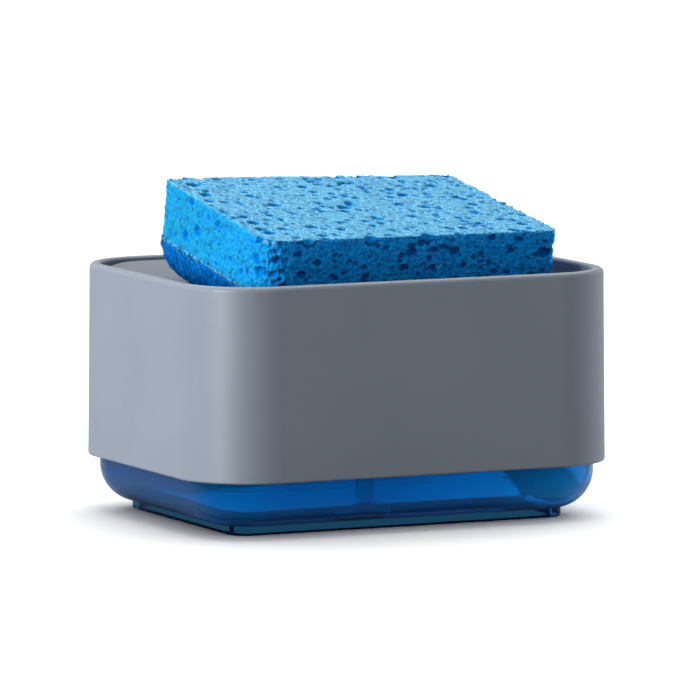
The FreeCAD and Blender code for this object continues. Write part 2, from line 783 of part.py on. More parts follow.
def make_return_spring():
    """Open coil spring between the cage's base and the stem's flange, one unbroken wire."""
    radius, wire = number("spring_radius"), number("spring_wire")
    base = number("spring_bottom + spring_seat_gap + spring_wire / 2")
    rise = number("stem_bottom - spring_bottom - 2 * spring_seat_gap - spring_wire")
    turns = number("spring_turn_count")
    quarters = round(4 * turns)
    pitch = rise / turns
    marks = [helix_point(radius, pitch, base, quarter * math.pi / 2) for quarter in range(quarters + 1)]
    arcs = []
    for (start, start_run), (end, end_run) in zip(marks, marks[1:]):
        arcs.extend(biarc(start, start_run, end, end_run))
    path = Part.Wire(Part.__sortEdges__(arcs))
    first, first_run = marks[0]
    section = Part.Wire(Part.Circle(first, first_run, wire / 2).toShape())
    spring = document.addObject("Part::Feature", "return_spring")
    spring.Shape = path.makePipeShell([section], True, False)
    print(f"return_spring: least gap between turns {pitch - wire:.2f} mm")
    return spring


def make_ball_cage():
    """Cage over the inlet ball, standing on a brim that also seats the spring."""
    body = turned_body(
        "ball_cage",
        [
            ("ball_well_radius", "bore_bottom"),
            ("cylinder_bore / 2 - snug_gap", "bore_bottom"),
            ("cylinder_bore / 2 - snug_gap", "spring_bottom"),
            ("cage_radius", "spring_bottom"),
            ("cage_radius", "cage_ceiling + cage_roof"),
            ("0", "cage_ceiling + cage_roof"),
            ("0", "cage_ceiling"),
            ("ball_well_radius", "cage_ceiling"),
        ],
    )
    hole = new_sketch(body, height="cage_ceiling + cage_roof")
    draw_circles(hole, [("cage_radius - cage_hole_inset", "0")], "cage_hole_diameter")
    cut = add_feature(body, "Pocket", hole, "cage_roof + cut_overrun", upward=False)
    repeat_round(body, cut, "cage_hole_count")
    return body


def make_inlet_ball():
    """Ball on the cone seat of the chamber's inlet."""
    ball = document.addObject("Part::Sphere", "inlet_ball")
    bind(ball, "ball_diameter / 2", "Radius")
    bind(ball, "ball_height", "Placement.Base.z")
    return ball


def make_dip_tube():
    """Short tube from the chamber's spigot to just above the tank's floor, notched at its foot."""
    body = turned_body(
        "dip_tube",
        [
            ("tube_diameter / 2 - tube_wall", "tube_bottom"),
            ("tube_diameter / 2", "tube_bottom"),
            ("tube_diameter / 2", "tube_top"),
            ("tube_diameter / 2 - tube_wall", "tube_top"),
        ],
    )
    notch = new_sketch(body, "XZ_Plane")
    half = "tube_notch_width / 2"
    low = "tube_bottom - cut_overrun"
    high = "tube_bottom + tube_notch_height"
    draw_polygon(notch, [(f"-{half}", low), (half, low), (half, high), (f"-{half}", high)])
    cut = add_feature(body, "Pocket", notch)
    cut.Midplane = True
    return body


def cut_above_slope(body):
    """Cuts away everything above the tray's sloping top."""
    sketch = new_sketch(body, "YZ_Plane")
    edge = "tray_depth / 2 + cut_overrun"
    drop = f"({edge}) * tray_rise_share"
    ceiling = f"rim_height + {drop}"
    draw_polygon(
        sketch,
        [
            (f"-({edge})", f"tray_middle - {drop}"),
            (edge, f"tray_middle + {drop}"),
            (edge, ceiling),
            (f"-({edge})", ceiling),
        ],
    )
    cut = add_feature(body, "Pocket", sketch)
    cut.Midplane = True
    document.recompute()
    return cut


def make_press_tray():
    """Sloping tray with a skirt all round, a boss for the stem, two guide posts and drain slots."""
    body = new_body("press_tray")
    plan = new_sketch(body, height="tray_bottom")
    draw_rounded_rectangle(plan, "tray_width", "tray_depth", "tray_radius")
    add_feature(body, "Pad", plan, "rim_height - tray_bottom")
    slope = cut_above_slope(body)
    at_bottom = at_height("tray_bottom")
    underside = [f"Face{count}" for count, face in enumerate(slope.Shape.Faces, start=1) if at_bottom(face)]
    shell = body.newObject("PartDesign::Thickness", "press_tray_shell")
    shell.Base = (slope, underside)
    shell.Join = "Intersection"
    shell.Reversed = True
    bind(shell, "tray_wall", "Value")
    document.recompute()
    rise, middle = number("tray_rise_share"), number("tray_middle")

    def on_slope(edge):
        places = (edge.valueAt(edge.FirstParameter), edge.valueAt(edge.LastParameter))
        return all(math.isclose(place.z, middle + place.y * rise, abs_tol=1e-3) for place in places)

    round_edges(body, on_slope, "tray_edge_round")
    boss = new_sketch(body, height="boss_bottom")
    draw_circles(boss, [("0", "0")], "nozzle_diameter + 2 * boss_wall")
    add_feature(body, "Pad", boss, "tray_middle - boss_bottom + nozzle_diameter * tray_rise_share")
    posts = new_sketch(body, height="post_bottom")
    draw_circles(posts, [("guide_x", "0"), ("-guide_x", "0")], "post_diameter")
    add_feature(body, "Pad", posts, "tray_middle - post_bottom + post_diameter * tray_rise_share")
    cut_above_slope(body)
    nozzle_mouth = "tray_middle + nozzle_diameter * tray_rise_share"
    add_turning(
        body,
        "Groove",
        [
            ("0", "boss_bottom - cut_overrun"),
            ("stem_diameter / 2 + snug_gap", "boss_bottom - cut_overrun"),
            ("stem_diameter / 2 + snug_gap", "stem_top"),
            ("stem_bore / 2", "stem_top"),
            ("stem_bore / 2", "nozzle_floor"),
            ("nozzle_diameter / 2", "nozzle_floor"),
            ("nozzle_diameter / 2", nozzle_mouth),
            ("0", nozzle_mouth),
        ],
    )
    drain = new_sketch(body, height="tray_middle")
    draw_slot(drain, "drain_pitch * (1 - drain_count) / 2", "drain_y", "drain_length", "drain_width")
    cut = add_feature(body, "Pocket", drain)
    cut.Midplane = True
    document.recompute()
    row = body.newObject("PartDesign::LinearPattern", "press_tray_drains")
    row.Originals = [cut]
    row.Direction = (drain, ["H_Axis"])
    row.Mode = "Spacing"
    bind(row, "drain_pitch", "Offset")
    bind(row, "drain_count", "Occurrences")
    body.Tip = row
    document.recompute()
    return body


def make_outlet_valve():
    """Soft disc with a low slit dome that lets soap up through the tray."""
    dome_top = "valve_top + valve_dome_height"
    body = turned_body(
        "outlet_valve",
        [
            ("valve_dome_diameter / 2 - valve_wall", "nozzle_floor"),
            ("nozzle_diameter / 2 - valve_gap", "nozzle_floor"),
            ("nozzle_diameter / 2 - valve_gap", "valve_top"),
            ("valve_dome_diameter / 2", "valve_top"),
            ("valve_top_diameter / 2", dome_top),
            ("0", dome_top),
            ("0", f"{dome_top} - valve_wall"),
            ("valve_top_diameter / 2", f"{dome_top} - valve_wall"),
        ],
    )
    slit = new_sketch(body, height=dome_top)
    draw_polygon(slit, four_sides("valve_top_diameter / 4", "valve_slit_width / 2"))
    add_feature(body, "Pocket", slit, upward=False)
    return body


def make_valve_retainer():
    """Ring that holds the outlet valve down in the nozzle pocket."""
    outer = "nozzle_diameter / 2 - snug_gap"
    return turned_body(
        "valve_retainer",
        [
            (f"{outer} - retainer_wall", "valve_top"),
            (outer, "valve_top"),
            (outer, "valve_top + retainer_thickness"),
            (f"{outer} - retainer_wall", "valve_top + retainer_thickness"),
        ],
    )


def lay_on_tray(body, lift):
    """Turns a sponge layer and lays it parallel to the tray, a lift above its top."""
    slope = math.degrees(math.atan(number("tray_rise_share")))
    tilt = FreeCAD.Rotation(FreeCAD.Vector(1, 0, 0), slope)
    yaw = FreeCAD.Rotation(FreeCAD.Vector(0, 0, 1), number("sponge_yaw_angle"))
    body.Placement = FreeCAD.Placement(FreeCAD.Vector(), tilt.multiply(yaw))
    bind(body, "sponge_shift_x", "Placement.Base.x")
    stand = f"({lift}) / tray_slant_share"
    bind(body, f"sponge_shift_y - {stand} * tray_rise_share", "Placement.Base.y")
    bind(body, f"tray_middle + sponge_shift_y * tray_rise_share + {stand}", "Placement.Base.z")
    document.recompute()


def make_sponge_layer(name, thickness, lift, wanted, radius):
    """One layer of the sponge with one of its flat faces rounded off at the edge."""
    body = new_body(name)
    plan = new_sketch(body)
    draw_rounded_rectangle(plan, "sponge_length", "sponge_breadth", "sponge_corner_radius")
    add_feature(body, "Pad", plan, thickness)
    round_edges(body, at_height(wanted), radius)
    lay_on_tray(body, lift)
    return body


def make_scour_pad():
    """Scrubbing layer, with its lower edge rounded off."""
    return make_sponge_layer("scour_pad", "pad_thickness", "pad_gap", "0", "pad_round")


def make_sponge_block():
    """Cellulose block on top of the scrubbing layer."""
    thickness, lift = "sponge_thickness", "pad_gap + pad_thickness"
    return make_sponge_layer("sponge_block", thickness, lift, thickness, "sponge_edge_round")


def check_document():
    """Stops where a feature failed to build."""
    failed = [item.Label for item in document.Objects if {"Invalid", "Error"} & set(item.State)]
    if failed:
        raise RuntimeError("failed to build: " + ", ".join(failed))


def write_parts(parts):
    """Writes each sub-part's solids to a file named after it, once all are sound."""
    for part in parts:
        if part.Shape.isNull() or not part.Shape.isValid() or not part.Shape.Solids:
            raise RuntimeError("unsound shape: " + part.Label)
    os.makedirs("parts", exist_ok=True)
    for part in parts:
        part.Shape.exportStep(f"parts/{part.Label}.step")
        print(f"{part.Label}: {len(part.Shape.Solids)} solid(s), {part.Shape.Volume / 1000:.2f} ml")


parts = [
    make_outer_sleeve(),
    make_reservoir(),
    make_soap(),
    make_tank_seal(),
    make_pump_deck(),
    make_deck_screws(),
    make_pump_collar(),
    make_collar_gasket(),
    make_pump_cylinder(),
    make_stem_guide(),
    make_pump_stem(),
    make_piston(),
    make_return_spring(),
    make_ball_cage(),
    make_inlet_ball(),
    make_dip_tube(),
    make_press_tray(),
    make_outlet_valve(),
    make_valve_retainer(),
    make_scour_pad(),
    make_sponge_block(),
]
document.recompute()
check_document()
write_parts(parts)
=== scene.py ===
import math

import bpy
import numpy as np
from bpy.props import FloatProperty, FloatVectorProperty, IntProperty, PointerProperty
from bpy.types import Operator, Panel, PropertyGroup
from mathutils import Euler, Matrix, Vector


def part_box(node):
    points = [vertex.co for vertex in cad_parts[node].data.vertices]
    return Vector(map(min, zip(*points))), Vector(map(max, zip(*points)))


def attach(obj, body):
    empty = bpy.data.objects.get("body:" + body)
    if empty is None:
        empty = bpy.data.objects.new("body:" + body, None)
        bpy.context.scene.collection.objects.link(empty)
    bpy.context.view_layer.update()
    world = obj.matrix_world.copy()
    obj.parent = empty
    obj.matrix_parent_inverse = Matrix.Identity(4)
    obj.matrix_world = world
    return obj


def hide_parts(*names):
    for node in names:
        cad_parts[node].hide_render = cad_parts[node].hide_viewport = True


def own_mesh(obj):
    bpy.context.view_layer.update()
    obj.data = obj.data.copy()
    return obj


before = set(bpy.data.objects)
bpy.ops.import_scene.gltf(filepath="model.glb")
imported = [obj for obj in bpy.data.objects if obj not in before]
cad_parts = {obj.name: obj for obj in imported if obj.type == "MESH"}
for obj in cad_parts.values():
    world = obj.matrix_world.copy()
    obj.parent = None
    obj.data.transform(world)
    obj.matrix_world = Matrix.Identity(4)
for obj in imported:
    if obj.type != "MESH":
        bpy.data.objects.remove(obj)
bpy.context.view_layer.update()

bl_info = {
    "name": "Soap pump caddy",
    "version": (1, 0, 0),
    "blender": (4, 5, 0),
    "location": "3D View > Sidebar > Caddy",
    "description": "Dresses the packed soap pump caddy: plastics, liquid, pump and sponge, and a plain studio",
    "category": "Object",
}

MM = 0.001

# Fall and run of the tray under the sponge, in millimetres
TRAY_FALL, TRAY_RUN = 18.7, 92.8

# Most values of a noise lie between these
USUAL = (0.3, 0.7)


# Sizes and colours

def colour(label, text, default):
    return FloatVectorProperty(name=label, description=text, default=default, subtype="COLOR", min=0, max=1)


def length(label, text, millimetres):
    return FloatProperty(name=label, description=text, default=millimetres * MM, unit="LENGTH", precision=5)


def share(label, text, default):
    return FloatProperty(name=label, description=text, default=default, subtype="FACTOR", min=0, max=1)


def amount(label, text, default):
    return FloatProperty(name=label, description=text, default=default, min=0)


def angle(label, text, radians):
    return FloatProperty(name=label, description=text, default=radians, unit="ROTATION")


def power(label, text, watts):
    return FloatProperty(name=label, description=text, default=watts, unit="POWER")


class CaddyFinish(PropertyGroup):
    sleeve_colour: colour("Sleeve", "Grey of the moulded sleeve", (0.101, 0.118, 0.146))
    tray_colour: colour("Tray", "Grey of the tray and the deck", (0.11, 0.127, 0.15))
    grain_size: length("Grain", "Size of the moulded grain on the grey plastic", 0.35)
    tank_tint: colour("Tank", "Tint of the clear tank", (0.78, 0.89, 1.0))
    # Painted shade: the foot ring's dark tint stands in for the shade seen through it under the tank
    foot_shade_tint: colour("Tank foot", "Tint of the tank's foot ring under the liquid", (0.014, 0.085, 0.17))
    foot_height: length("Foot height", "Height of the tank's foot ring", 3.5)
    foot_blend: length("Foot blend", "Height over which the foot's tint fades", 1.5)
    soap_colour: colour("Soap", "Colour of the liquid at its surface", (0.001, 0.135, 0.45))
    # Painted light: a paler liquid colour toward the tank's ends
    soap_lit_end_colour: colour("Soap ends", "Colour of the liquid toward the tank's ends", (0.004, 0.38, 0.95))
    soap_depth_colour: colour("Soap depth", "Colour that the liquid's depth lets through", (0.4, 0.8, 0.93))
    soap_density: amount("Soap density", "Absorption of the liquid in each metre", 10.0)
    soap_clearness: share("Soap clearness", "Share of the light that goes through the liquid's surface", 0.66)
    wet_tint: colour("Wet gloss", "Tint of the straight reflections on the tank and the liquid", (0.03, 0.43, 1.0))
    soap_overlap: length("Soap overlap", "How far the liquid reaches into the tank's wall", 0.3)
    soap_meniscus: length("Meniscus", "Rise of the liquid where it meets the wall", 0.9)
    tank_corner: length("Tank corner", "Radius of the tank's inner corners in plan", 15.8)
    tank_round: length("Tank round", "Radius along the tank's inner bottom edge", 8.6)
    pump_colour: colour("Pump", "White of the moulded pump parts", (0.78, 0.79, 0.8))
    piston_colour: colour("Piston", "Off-white of the piston", (0.7, 0.7, 0.68))
    natural_tint: colour("Natural plastic", "Tint of the chamber and the dip tube", (0.88, 0.92, 0.96))
    natural_clearness: share("Natural clearness", "Share of the light that goes through that plastic", 0.86)
    seal_colour: colour("Seals", "Colour of the valve and the seals", (0.5, 0.52, 0.54))


class CaddySpring(PropertyGroup):
    radius: length("Radius", "Mean radius of the coil", 6.1)
    wire: length("Wire", "Diameter of the wire", 0.9)
    turns: amount("Turns", "Turns of the coil", 4.5)
    keep: share("Closed share", "Share of its length that the spring keeps when the tray is down", 0.35)


class CaddySponge(PropertyGroup):
    length: length("Length", "Long side of the sponge", 95)
    breadth: length("Breadth", "Short side of the sponge", 62)
    thickness: length("Thickness", "Thickness of the cellulose layer", 17)
    pad_thickness: length("Pad", "Thickness of the scrubbing layer", 10.2)
    pad_round: length("Pad round", "Radius along the lower edge of the scrubbing layer", 9.5)
    corners: FloatVectorProperty(
        name="Corners",
        description="Radii of the upright corners, front left, front right, rear left and rear right",
        default=(7 * MM, 2.5 * MM, 3 * MM, 2 * MM),
        size=4,
        unit="LENGTH",
    )
    spacing: length("Spacing", "Distance between the mesh's points", 0.31)
    pad_spacing: length("Pad spacing", "Distance between the points of the scrubbing layer", 0.8)
    slope: angle("Slope", "Slope of the tray under the sponge", math.atan(TRAY_FALL / TRAY_RUN))
    yaw: angle("Turn", "Turn of the sponge on the tray", math.radians(4.3))
    seed: IntProperty(name="Seed", description="Choice of pores and fibres", default=11)
    large_cell: length("Large pore pitch", "Mean distance between large pores", 5.6)
    medium_cell: length("Medium pore pitch", "Mean distance between medium pores", 3.3)
    small_cell: length("Small pore pitch", "Mean distance between small pores", 1.9)
    web_cell: length("Web pitch", "Mean distance across the cells between the cellulose strands", 1.5)
    edge_pore: length("Edge pore", "Radius of the two pores that break the front top edge", 2.5)
    edge_pore_places: FloatVectorProperty(
        name="Edge pores",
        description="Where the two pores break the front top edge, from the middle",
        default=(-13.5 * MM, 4.6 * MM),
        size=2,
        unit="LENGTH",
    )
    # Partly painted sheen: the flat top's paler colour stands in for the sheen seen at its grazing view
    skin_and_sheen_colour: colour("Skin", "Colour of the cellulose on its flat top", (0.063, 0.236, 0.375))
    speck_colour: colour("Specks", "Colour of the dry fibre ends on the flat top", (0.2, 0.46, 0.64))
    # Partly painted shade: the cut faces' colour is darkened for the self-shadow of their pores and stays in the
    # cells, darker than the strands
    cut_colour_and_shade: colour("Cut face", "Colour of the cellulose on its cut sides", (0.0, 0.11, 0.38))
    strand_colour: colour("Strands", "Colour of the strands between the cells", (0.006, 0.21, 0.4))
    # Painted shade on the key-lit left end and painted light on the other cut sides, mixed in by the share below
    end_painted_shade: colour("End dye", "Dye that the cut face takes at the left end", (0.01, 0.11, 0.0))
    side_painted_light: colour("Side dye", "Dye that the cut face takes on the other sides", (0.0, 0.24, 0.75))
    painted_light_share: share("Dye share", "Share of the dyes in the cut face's colour", 0.32)
    # Painted shade in the fine pits of the flat top, mixed with the inner blue
    pit_shade_colour: colour("Pits", "Colour of the fine pits in the flat top", (0.015, 0.2, 0.4))
    # Painted shade inside the pores: darker on the flat top, where it mixes with the inner blue, and on the cut
    # sides; painted light keeps those of the key-lit left end paler
    pore_colour_and_shade: colour("Pore", "Colour inside a pore of the flat top", (0.0, 0.135, 0.37))
    cut_pore_shade_colour: colour("Cut pore", "Colour inside a pore of the cut sides", (0.0, 0.075, 0.28))
    end_pore_lit_colour: colour("End pore", "Colour inside a pore of the left end", (0.0, 0.14, 0.4))
    scour_colour: colour("Scrubbing layer", "Colour of the fibre web", (0.0, 0.07, 0.25))
    fibre_length: length("Fibre", "Length of the web's loose fibres", 3.2)
    fibre_radius: length("Fibre radius", "Radius of the web's loose fibres", 0.07)
    fibre_density: amount("Fibre density", "Loose fibres on each square metre", 900000.0)


class CaddyStage(PropertyGroup):
    floor_colour: colour("Floor", "Colour of the floor", (0.9, 0.9, 0.9))
    floor_glow: amount("Floor glow", "Light from below for what is seen through the tank", 0.62)
    azimuth: angle("Azimuth", "Direction of the camera", math.radians(-25.47))
    elevation: angle("Elevation", "Height of the camera", math.radians(6.32))
    distance: length("Distance", "Camera to the sleeve's middle", 2463)
    aim_height: length("Aim", "Height of the sleeve's middle", 43.5)
    lens: FloatProperty(name="Lens", description="Focal length", default=444.3, unit="CAMERA")
    shift: FloatVectorProperty(name="Shift", description="Shift of the picture", default=(0.006, 0.0147), size=2)
    key_power: power("Key", "Power of the light at the left", 42.0)
    sheen_power: power("Sheen", "Power of the light that the sleeve's near corner shows", 10.0)
    fill_power: power("Fill", "Power of the light at the right", 24.0)
    top_strength: amount("Top", "Strength of the light overhead", 2.1)
    sky: amount("Sky", "Strength of the even light all round", 0.8)


# Node wiring

class Wiring:
    """A node tree being wired."""

    def __init__(self, tree):
        self.tree = tree

    def add(self, kind, inputs=None, **settings):
        """Adds a node, sets its properties, and sets or links its inputs."""
        node = self.tree.nodes.new(kind)
        for name, value in settings.items():
            setattr(node, name, value)
        for key, value in (inputs or {}).items():
            if isinstance(value, bpy.types.NodeSocket):
                self.tree.links.new(value, node.inputs[key])
            else:
                node.inputs[key].default_value = value
        return node

    def math(self, operation, first, second=0.0):
        return self.add("ShaderNodeMath", {0: first, 1: second}, operation=operation).outputs[0]

    def span(self, value, low, high, start=0.0, end=1.0):
        """Takes values from start to end on to low to high, and holds the rest at those."""
        inputs = {"Value": value, "From Min": start, "From Max": end, "To Min": low, "To Max": high}
        return self.add("ShaderNodeMapRange", inputs).outputs[0]


def opaque(rgb):
    return (*rgb, 1.0)


def toned(rgb, gain):
    return (*(min(1.0, channel * gain) for channel in rgb), 1.0)


def put(name, data):
    """A new object in the scene."""
    thing = bpy.data.objects.new(name, data)
    bpy.context.collection.objects.link(thing)
    return thing


def facing(direction):
    """Turn of a light or a camera that looks in a direction."""
    return Vector(direction).to_track_quat("-Z", "Y").to_euler()


class Finish(Wiring):
    """A material being wired, with its surface shader and the coordinates its patterns follow."""

    def __init__(self, name, **sockets):
        self.material = bpy.data.materials.new(name)
        self.material.use_nodes = True
        super().__init__(self.material.node_tree)
        self.shader = self.tree.nodes["Principled BSDF"]
        self.place = self.add("ShaderNodeTexCoord").outputs["Object"]
        for key, value in sockets.items():
            self.shader.inputs[key.replace("_", " ")].default_value = value

    def noise(self, size, detail=2.0, stretch=None):
        """Noise whose features are about as large as a size in metres."""
        place = self.place
        if stretch:
            place = self.add("ShaderNodeMapping", {"Vector": place, "Scale": stretch}).outputs["Vector"]
        return self.add("ShaderNodeTexNoise", {"Vector": place, "Scale": 1 / size, "Detail": detail}).outputs["Fac"]

    def across(self, axis):
        """Place along one axis of the object."""
        return self.add("ShaderNodeSeparateXYZ", {"Vector": self.place}).outputs[axis]

    def blend(self, factor, first, second):
        """Mixes two colours. A mix node's colour sockets share their names with others, so they go by number."""
        return self.add("ShaderNodeMix", {0: factor, 6: first, 7: second}, data_type="RGBA").outputs[2]

    def sum(self, first, second):
        return self.math("ADD", first, second)

    def attribute(self, name):
        return self.add("ShaderNodeAttribute", attribute_name=name).outputs["Fac"]

    def bump(self, height, depth, strength=1.0):
        inputs = {"Height": height, "Distance": depth, "Strength": strength}
        self.link("Normal", self.add("ShaderNodeBump", inputs).outputs["Normal"])

    def link(self, socket, value):
        self.tree.links.new(value, self.shader.inputs[socket])


def moulded_plastic(name, rgb, roughness, grain, gloss=0.5):
    """Matt plastic with a fine moulded grain and a faint cloud in its colour."""
    finish = Finish(name, Specular_IOR_Level=gloss)
    cloud = finish.noise(30 * MM, 3.0)
    speck = finish.noise(grain * 1.4, 1.0)
    mottle = finish.sum(cloud, finish.math("MULTIPLY", speck, 0.35))
    tone = finish.span(mottle, 0, 1, 0.35, 1.0)
    finish.link("Base Color", finish.blend(tone, toned(rgb, 0.95), toned(rgb, 1.05)))
    finish.link("Roughness", finish.span(speck, roughness - 0.06, roughness + 0.06, *USUAL))
    finish.bump(finish.noise(grain, 2.0), 0.06 * MM, 0.6)
    return finish.material


def clear_plastic(name, rgb, roughness, refraction):
    """Clear moulded plastic with a very slight wave in its surface."""
    finish = Finish(name, Base_Color=opaque(rgb), Transmission_Weight=1.0, IOR=refraction)
    finish.link("Roughness", finish.span(finish.noise(20 * MM), roughness * 0.6, roughness * 1.4, *USUAL))
    finish.bump(finish.noise(12 * MM), 0.05 * MM, 0.25)
    return finish


def tank_plastic(name, settings):
    """Clear plastic with painted shade that darkens it in the tank's foot."""
    finish = clear_plastic(name, settings.tank_tint, roughness=0.02, refraction=1.2)
    finish.shader.inputs["Specular Tint"].default_value = opaque(settings.wet_tint)
    # Painted shade on the foot ring, fading out above it
    above = finish.span(finish.across("Z"), 0, 1, settings.foot_height, settings.foot_height + settings.foot_blend)
    finish.link("Base Color", finish.blend(above, opaque(settings.foot_shade_tint), opaque(settings.tank_tint)))
    return finish.material


# Where painted light makes the liquid paler toward the tank's ends, from the middle, and how far at the left
SOAP_LIT_RIGHT_END = (25 * MM, 50 * MM)
SOAP_LIT_LEFT_END = (-58 * MM, -40 * MM)
SOAP_LIT_LEFT_SHARE = 0.3


def soap_liquid(name, settings):
    """Slightly cloudy blue liquid that darkens with its depth, with painted light that pales it toward the tank's
    ends.
    """
    finish = Finish(
        name,
        Transmission_Weight=settings.soap_clearness,
        IOR=1.34,
        Roughness=0.0,
        Specular_Tint=opaque(settings.wet_tint),
    )
    finish.bump(finish.noise(30 * MM), 0.02 * MM, 0.1)
    # Painted light toward the tank's ends
    along = finish.across("X")
    end = finish.sum(finish.span(along, 0, 1, *SOAP_LIT_RIGHT_END), finish.span(along, SOAP_LIT_LEFT_SHARE, 0, *SOAP_LIT_LEFT_END))
    finish.link("Base Color", finish.blend(end, opaque(settings.soap_colour), opaque(settings.soap_lit_end_colour)))
    inside = finish.add(
        "ShaderNodeVolumeAbsorption",
        {"Color": opaque(settings.soap_depth_colour), "Density": settings.soap_density},
    )
    finish.tree.links.new(inside.outputs["Volume"], finish.tree.nodes["Material Output"].inputs["Volume"])
    return finish.material


def soft_rubber(name, rgb):
    """Pale silicone with a dull surface."""
    finish = Finish(name, IOR=1.42)
    finish.link("Base Color", finish.blend(finish.noise(4 * MM), toned(rgb, 0.94), toned(rgb, 1.04)))
    finish.link("Roughness", finish.span(finish.noise(1 * MM), 0.45, 0.6, *USUAL))
    finish.bump(finish.noise(0.6 * MM), 0.04 * MM, 0.4)
    return finish.material


def drawn_steel(name):
    """Bright steel with upright drawing marks."""
    dark, pale = (0.42, 0.42, 0.44), (0.6, 0.6, 0.62)
    finish = Finish(name, Metallic=1.0)
    streak = finish.noise(0.8 * MM, 2.0, stretch=(1.0, 1.0, 0.12))
    finish.link("Base Color", finish.blend(streak, opaque(dark), opaque(pale)))
    finish.link("Roughness", finish.span(streak, 0.18, 0.34, *USUAL))
    finish.bump(streak, 0.02 * MM, 0.4)
    return finish.material


# Where the cut face leaves the painted shade of the key-lit left end for the painted light of the other sides, along
# the object and toward its rear
SPONGE_END = (-46 * MM, -34 * MM)
SPONGE_REAR = (24 * MM, 30 * MM)

# Share of a fine grain that shows, between these values of its noise
GRAIN = (0.35, 0.6)


def cellulose(name, sponge):
    """Sponge cellulose: pale dry fibres on its flat top, paler with painted sheen, and strands round deep cells on
    the cut sides, with painted shade in the cells, pits and pores, and painted light and shade that differ from side
    to side.
    """
    finish = Finish(name, IOR=1.4, Specular_IOR_Level=0.06)
    skin = finish.attribute("skin")
    grain = finish.noise(0.5 * MM, 2.0)
    web = finish.noise(1.2 * MM, 3.0)
    patch = finish.noise(8 * MM, 2.0)
    tone = finish.span(finish.sum(web, patch), 0, 1, 0.75, 1.25)
    fleck = finish.span(finish.sum(grain, finish.math("MULTIPLY", web, 0.5)), 0, 1, 0.74, 0.95)
    # The flat top's colour, paler with painted sheen
    top = finish.blend(tone, toned(sponge.skin_and_sheen_colour, 0.82), toned(sponge.skin_and_sheen_colour, 1.1))
    top = finish.blend(fleck, top, opaque(sponge.speck_colour))
    strand = finish.attribute("strand")
    # Painted shade in the shallow cell hollows of the flat top
    pits = finish.math("MULTIPLY", finish.span(strand, 0.45, 0.0), finish.span(grain, 1.0, 0.2, *GRAIN))
    top = finish.blend(pits, top, opaque(sponge.pit_shade_colour))
    # Cut faces with painted self-shadow; the cells between the strands keep this darker tone
    side = finish.blend(tone, toned(sponge.cut_colour_and_shade, 0.85), toned(sponge.cut_colour_and_shade, 1.2))
    strand = finish.math("MULTIPLY", strand, finish.span(grain, 0.3, 1.0, *GRAIN))
    side = finish.blend(strand, side, opaque(sponge.strand_colour))
    # Painted light and shade by side: darker on the key-lit left end, lighter on the other cut sides
    past_end = finish.span(finish.across("X"), 0, 1, *SPONGE_END)
    at_rear = finish.span(finish.across("Y"), 0, 1, *SPONGE_REAR)
    off_end = finish.math("MAXIMUM", past_end, at_rear)
    painted_tones = [finish.blend(sponge.painted_light_share, side, opaque(dye)) for dye in (sponge.end_painted_shade, sponge.side_painted_light)]
    surface = finish.blend(skin, finish.blend(off_end, *painted_tones), top)
    # Painted shade that grows with a pore's depth, with painted light in the pores of the key-lit left end
    deep = finish.span(finish.attribute("pore"), 0, 1, 0.05, 0.5)
    side_pores = finish.blend(off_end, opaque(sponge.end_pore_lit_colour), opaque(sponge.cut_pore_shade_colour))
    pores = finish.blend(skin, side_pores, opaque(sponge.pore_colour_and_shade))
    finish.link("Base Color", finish.blend(deep, surface, pores))
    finish.link("Roughness", finish.span(web, 0.65, 0.9, *USUAL))
    finish.bump(finish.sum(web, grain), 0.15 * MM, 0.5)
    return finish.material


def scour_web(name, rgb):
    """Fibre web of the scrubbing layer."""
    finish = Finish(name, IOR=1.45, Specular_IOR_Level=0.05)
    strand = finish.noise(1.2 * MM, 4.0, stretch=(0.35, 1.0, 1.0))
    cross = finish.noise(1.1 * MM, 4.0, stretch=(1.0, 0.4, 1.0))
    web = finish.math("MAXIMUM", strand, cross)
    clump = finish.noise(6 * MM)
    tone = finish.span(finish.sum(web, clump), 0, 1, 0.75, 1.35)
    finish.link("Base Color", finish.blend(tone, toned(rgb, 0.6), toned(rgb, 1.35)))
    finish.link("Roughness", finish.span(web, 0.5, 0.8, 0.4, 0.7))
    finish.bump(web, 0.4 * MM, 0.8)
    return finish.material


# Tones of the floor's colour: as it is seen, and in the dull and the glossy light that it throws back
FLOOR_SEEN = (1.09, 1.11)
FLOOR_DULL = 0.6
FLOOR_GLOSSY = 0.4
WHITE = (1.0, 1.0, 1.0, 1.0)


def studio_floor(name, rgb, glow):
    """Pale floor, lit from below for what is seen through the tank and dimmed in what it throws back."""
    finish = Finish(name, Roughness=0.9, Specular_IOR_Level=0.1)
    ray = finish.add("ShaderNodeLightPath")
    seen = finish.blend(finish.noise(400 * MM), *(toned(rgb, gain) for gain in FLOOR_SEEN))
    dimmed = finish.blend(ray.outputs["Is Diffuse Ray"], seen, toned(rgb, FLOOR_DULL))
    finish.link("Base Color", finish.blend(ray.outputs["Is Glossy Ray"], dimmed, toned(rgb, FLOOR_GLOSSY)))
    finish.shader.inputs["Emission Color"].default_value = WHITE
    finish.link("Emission Strength", finish.span(ray.outputs["Is Transmission Ray"], 0.0, glow))
    return finish.material


# Geometry node trees

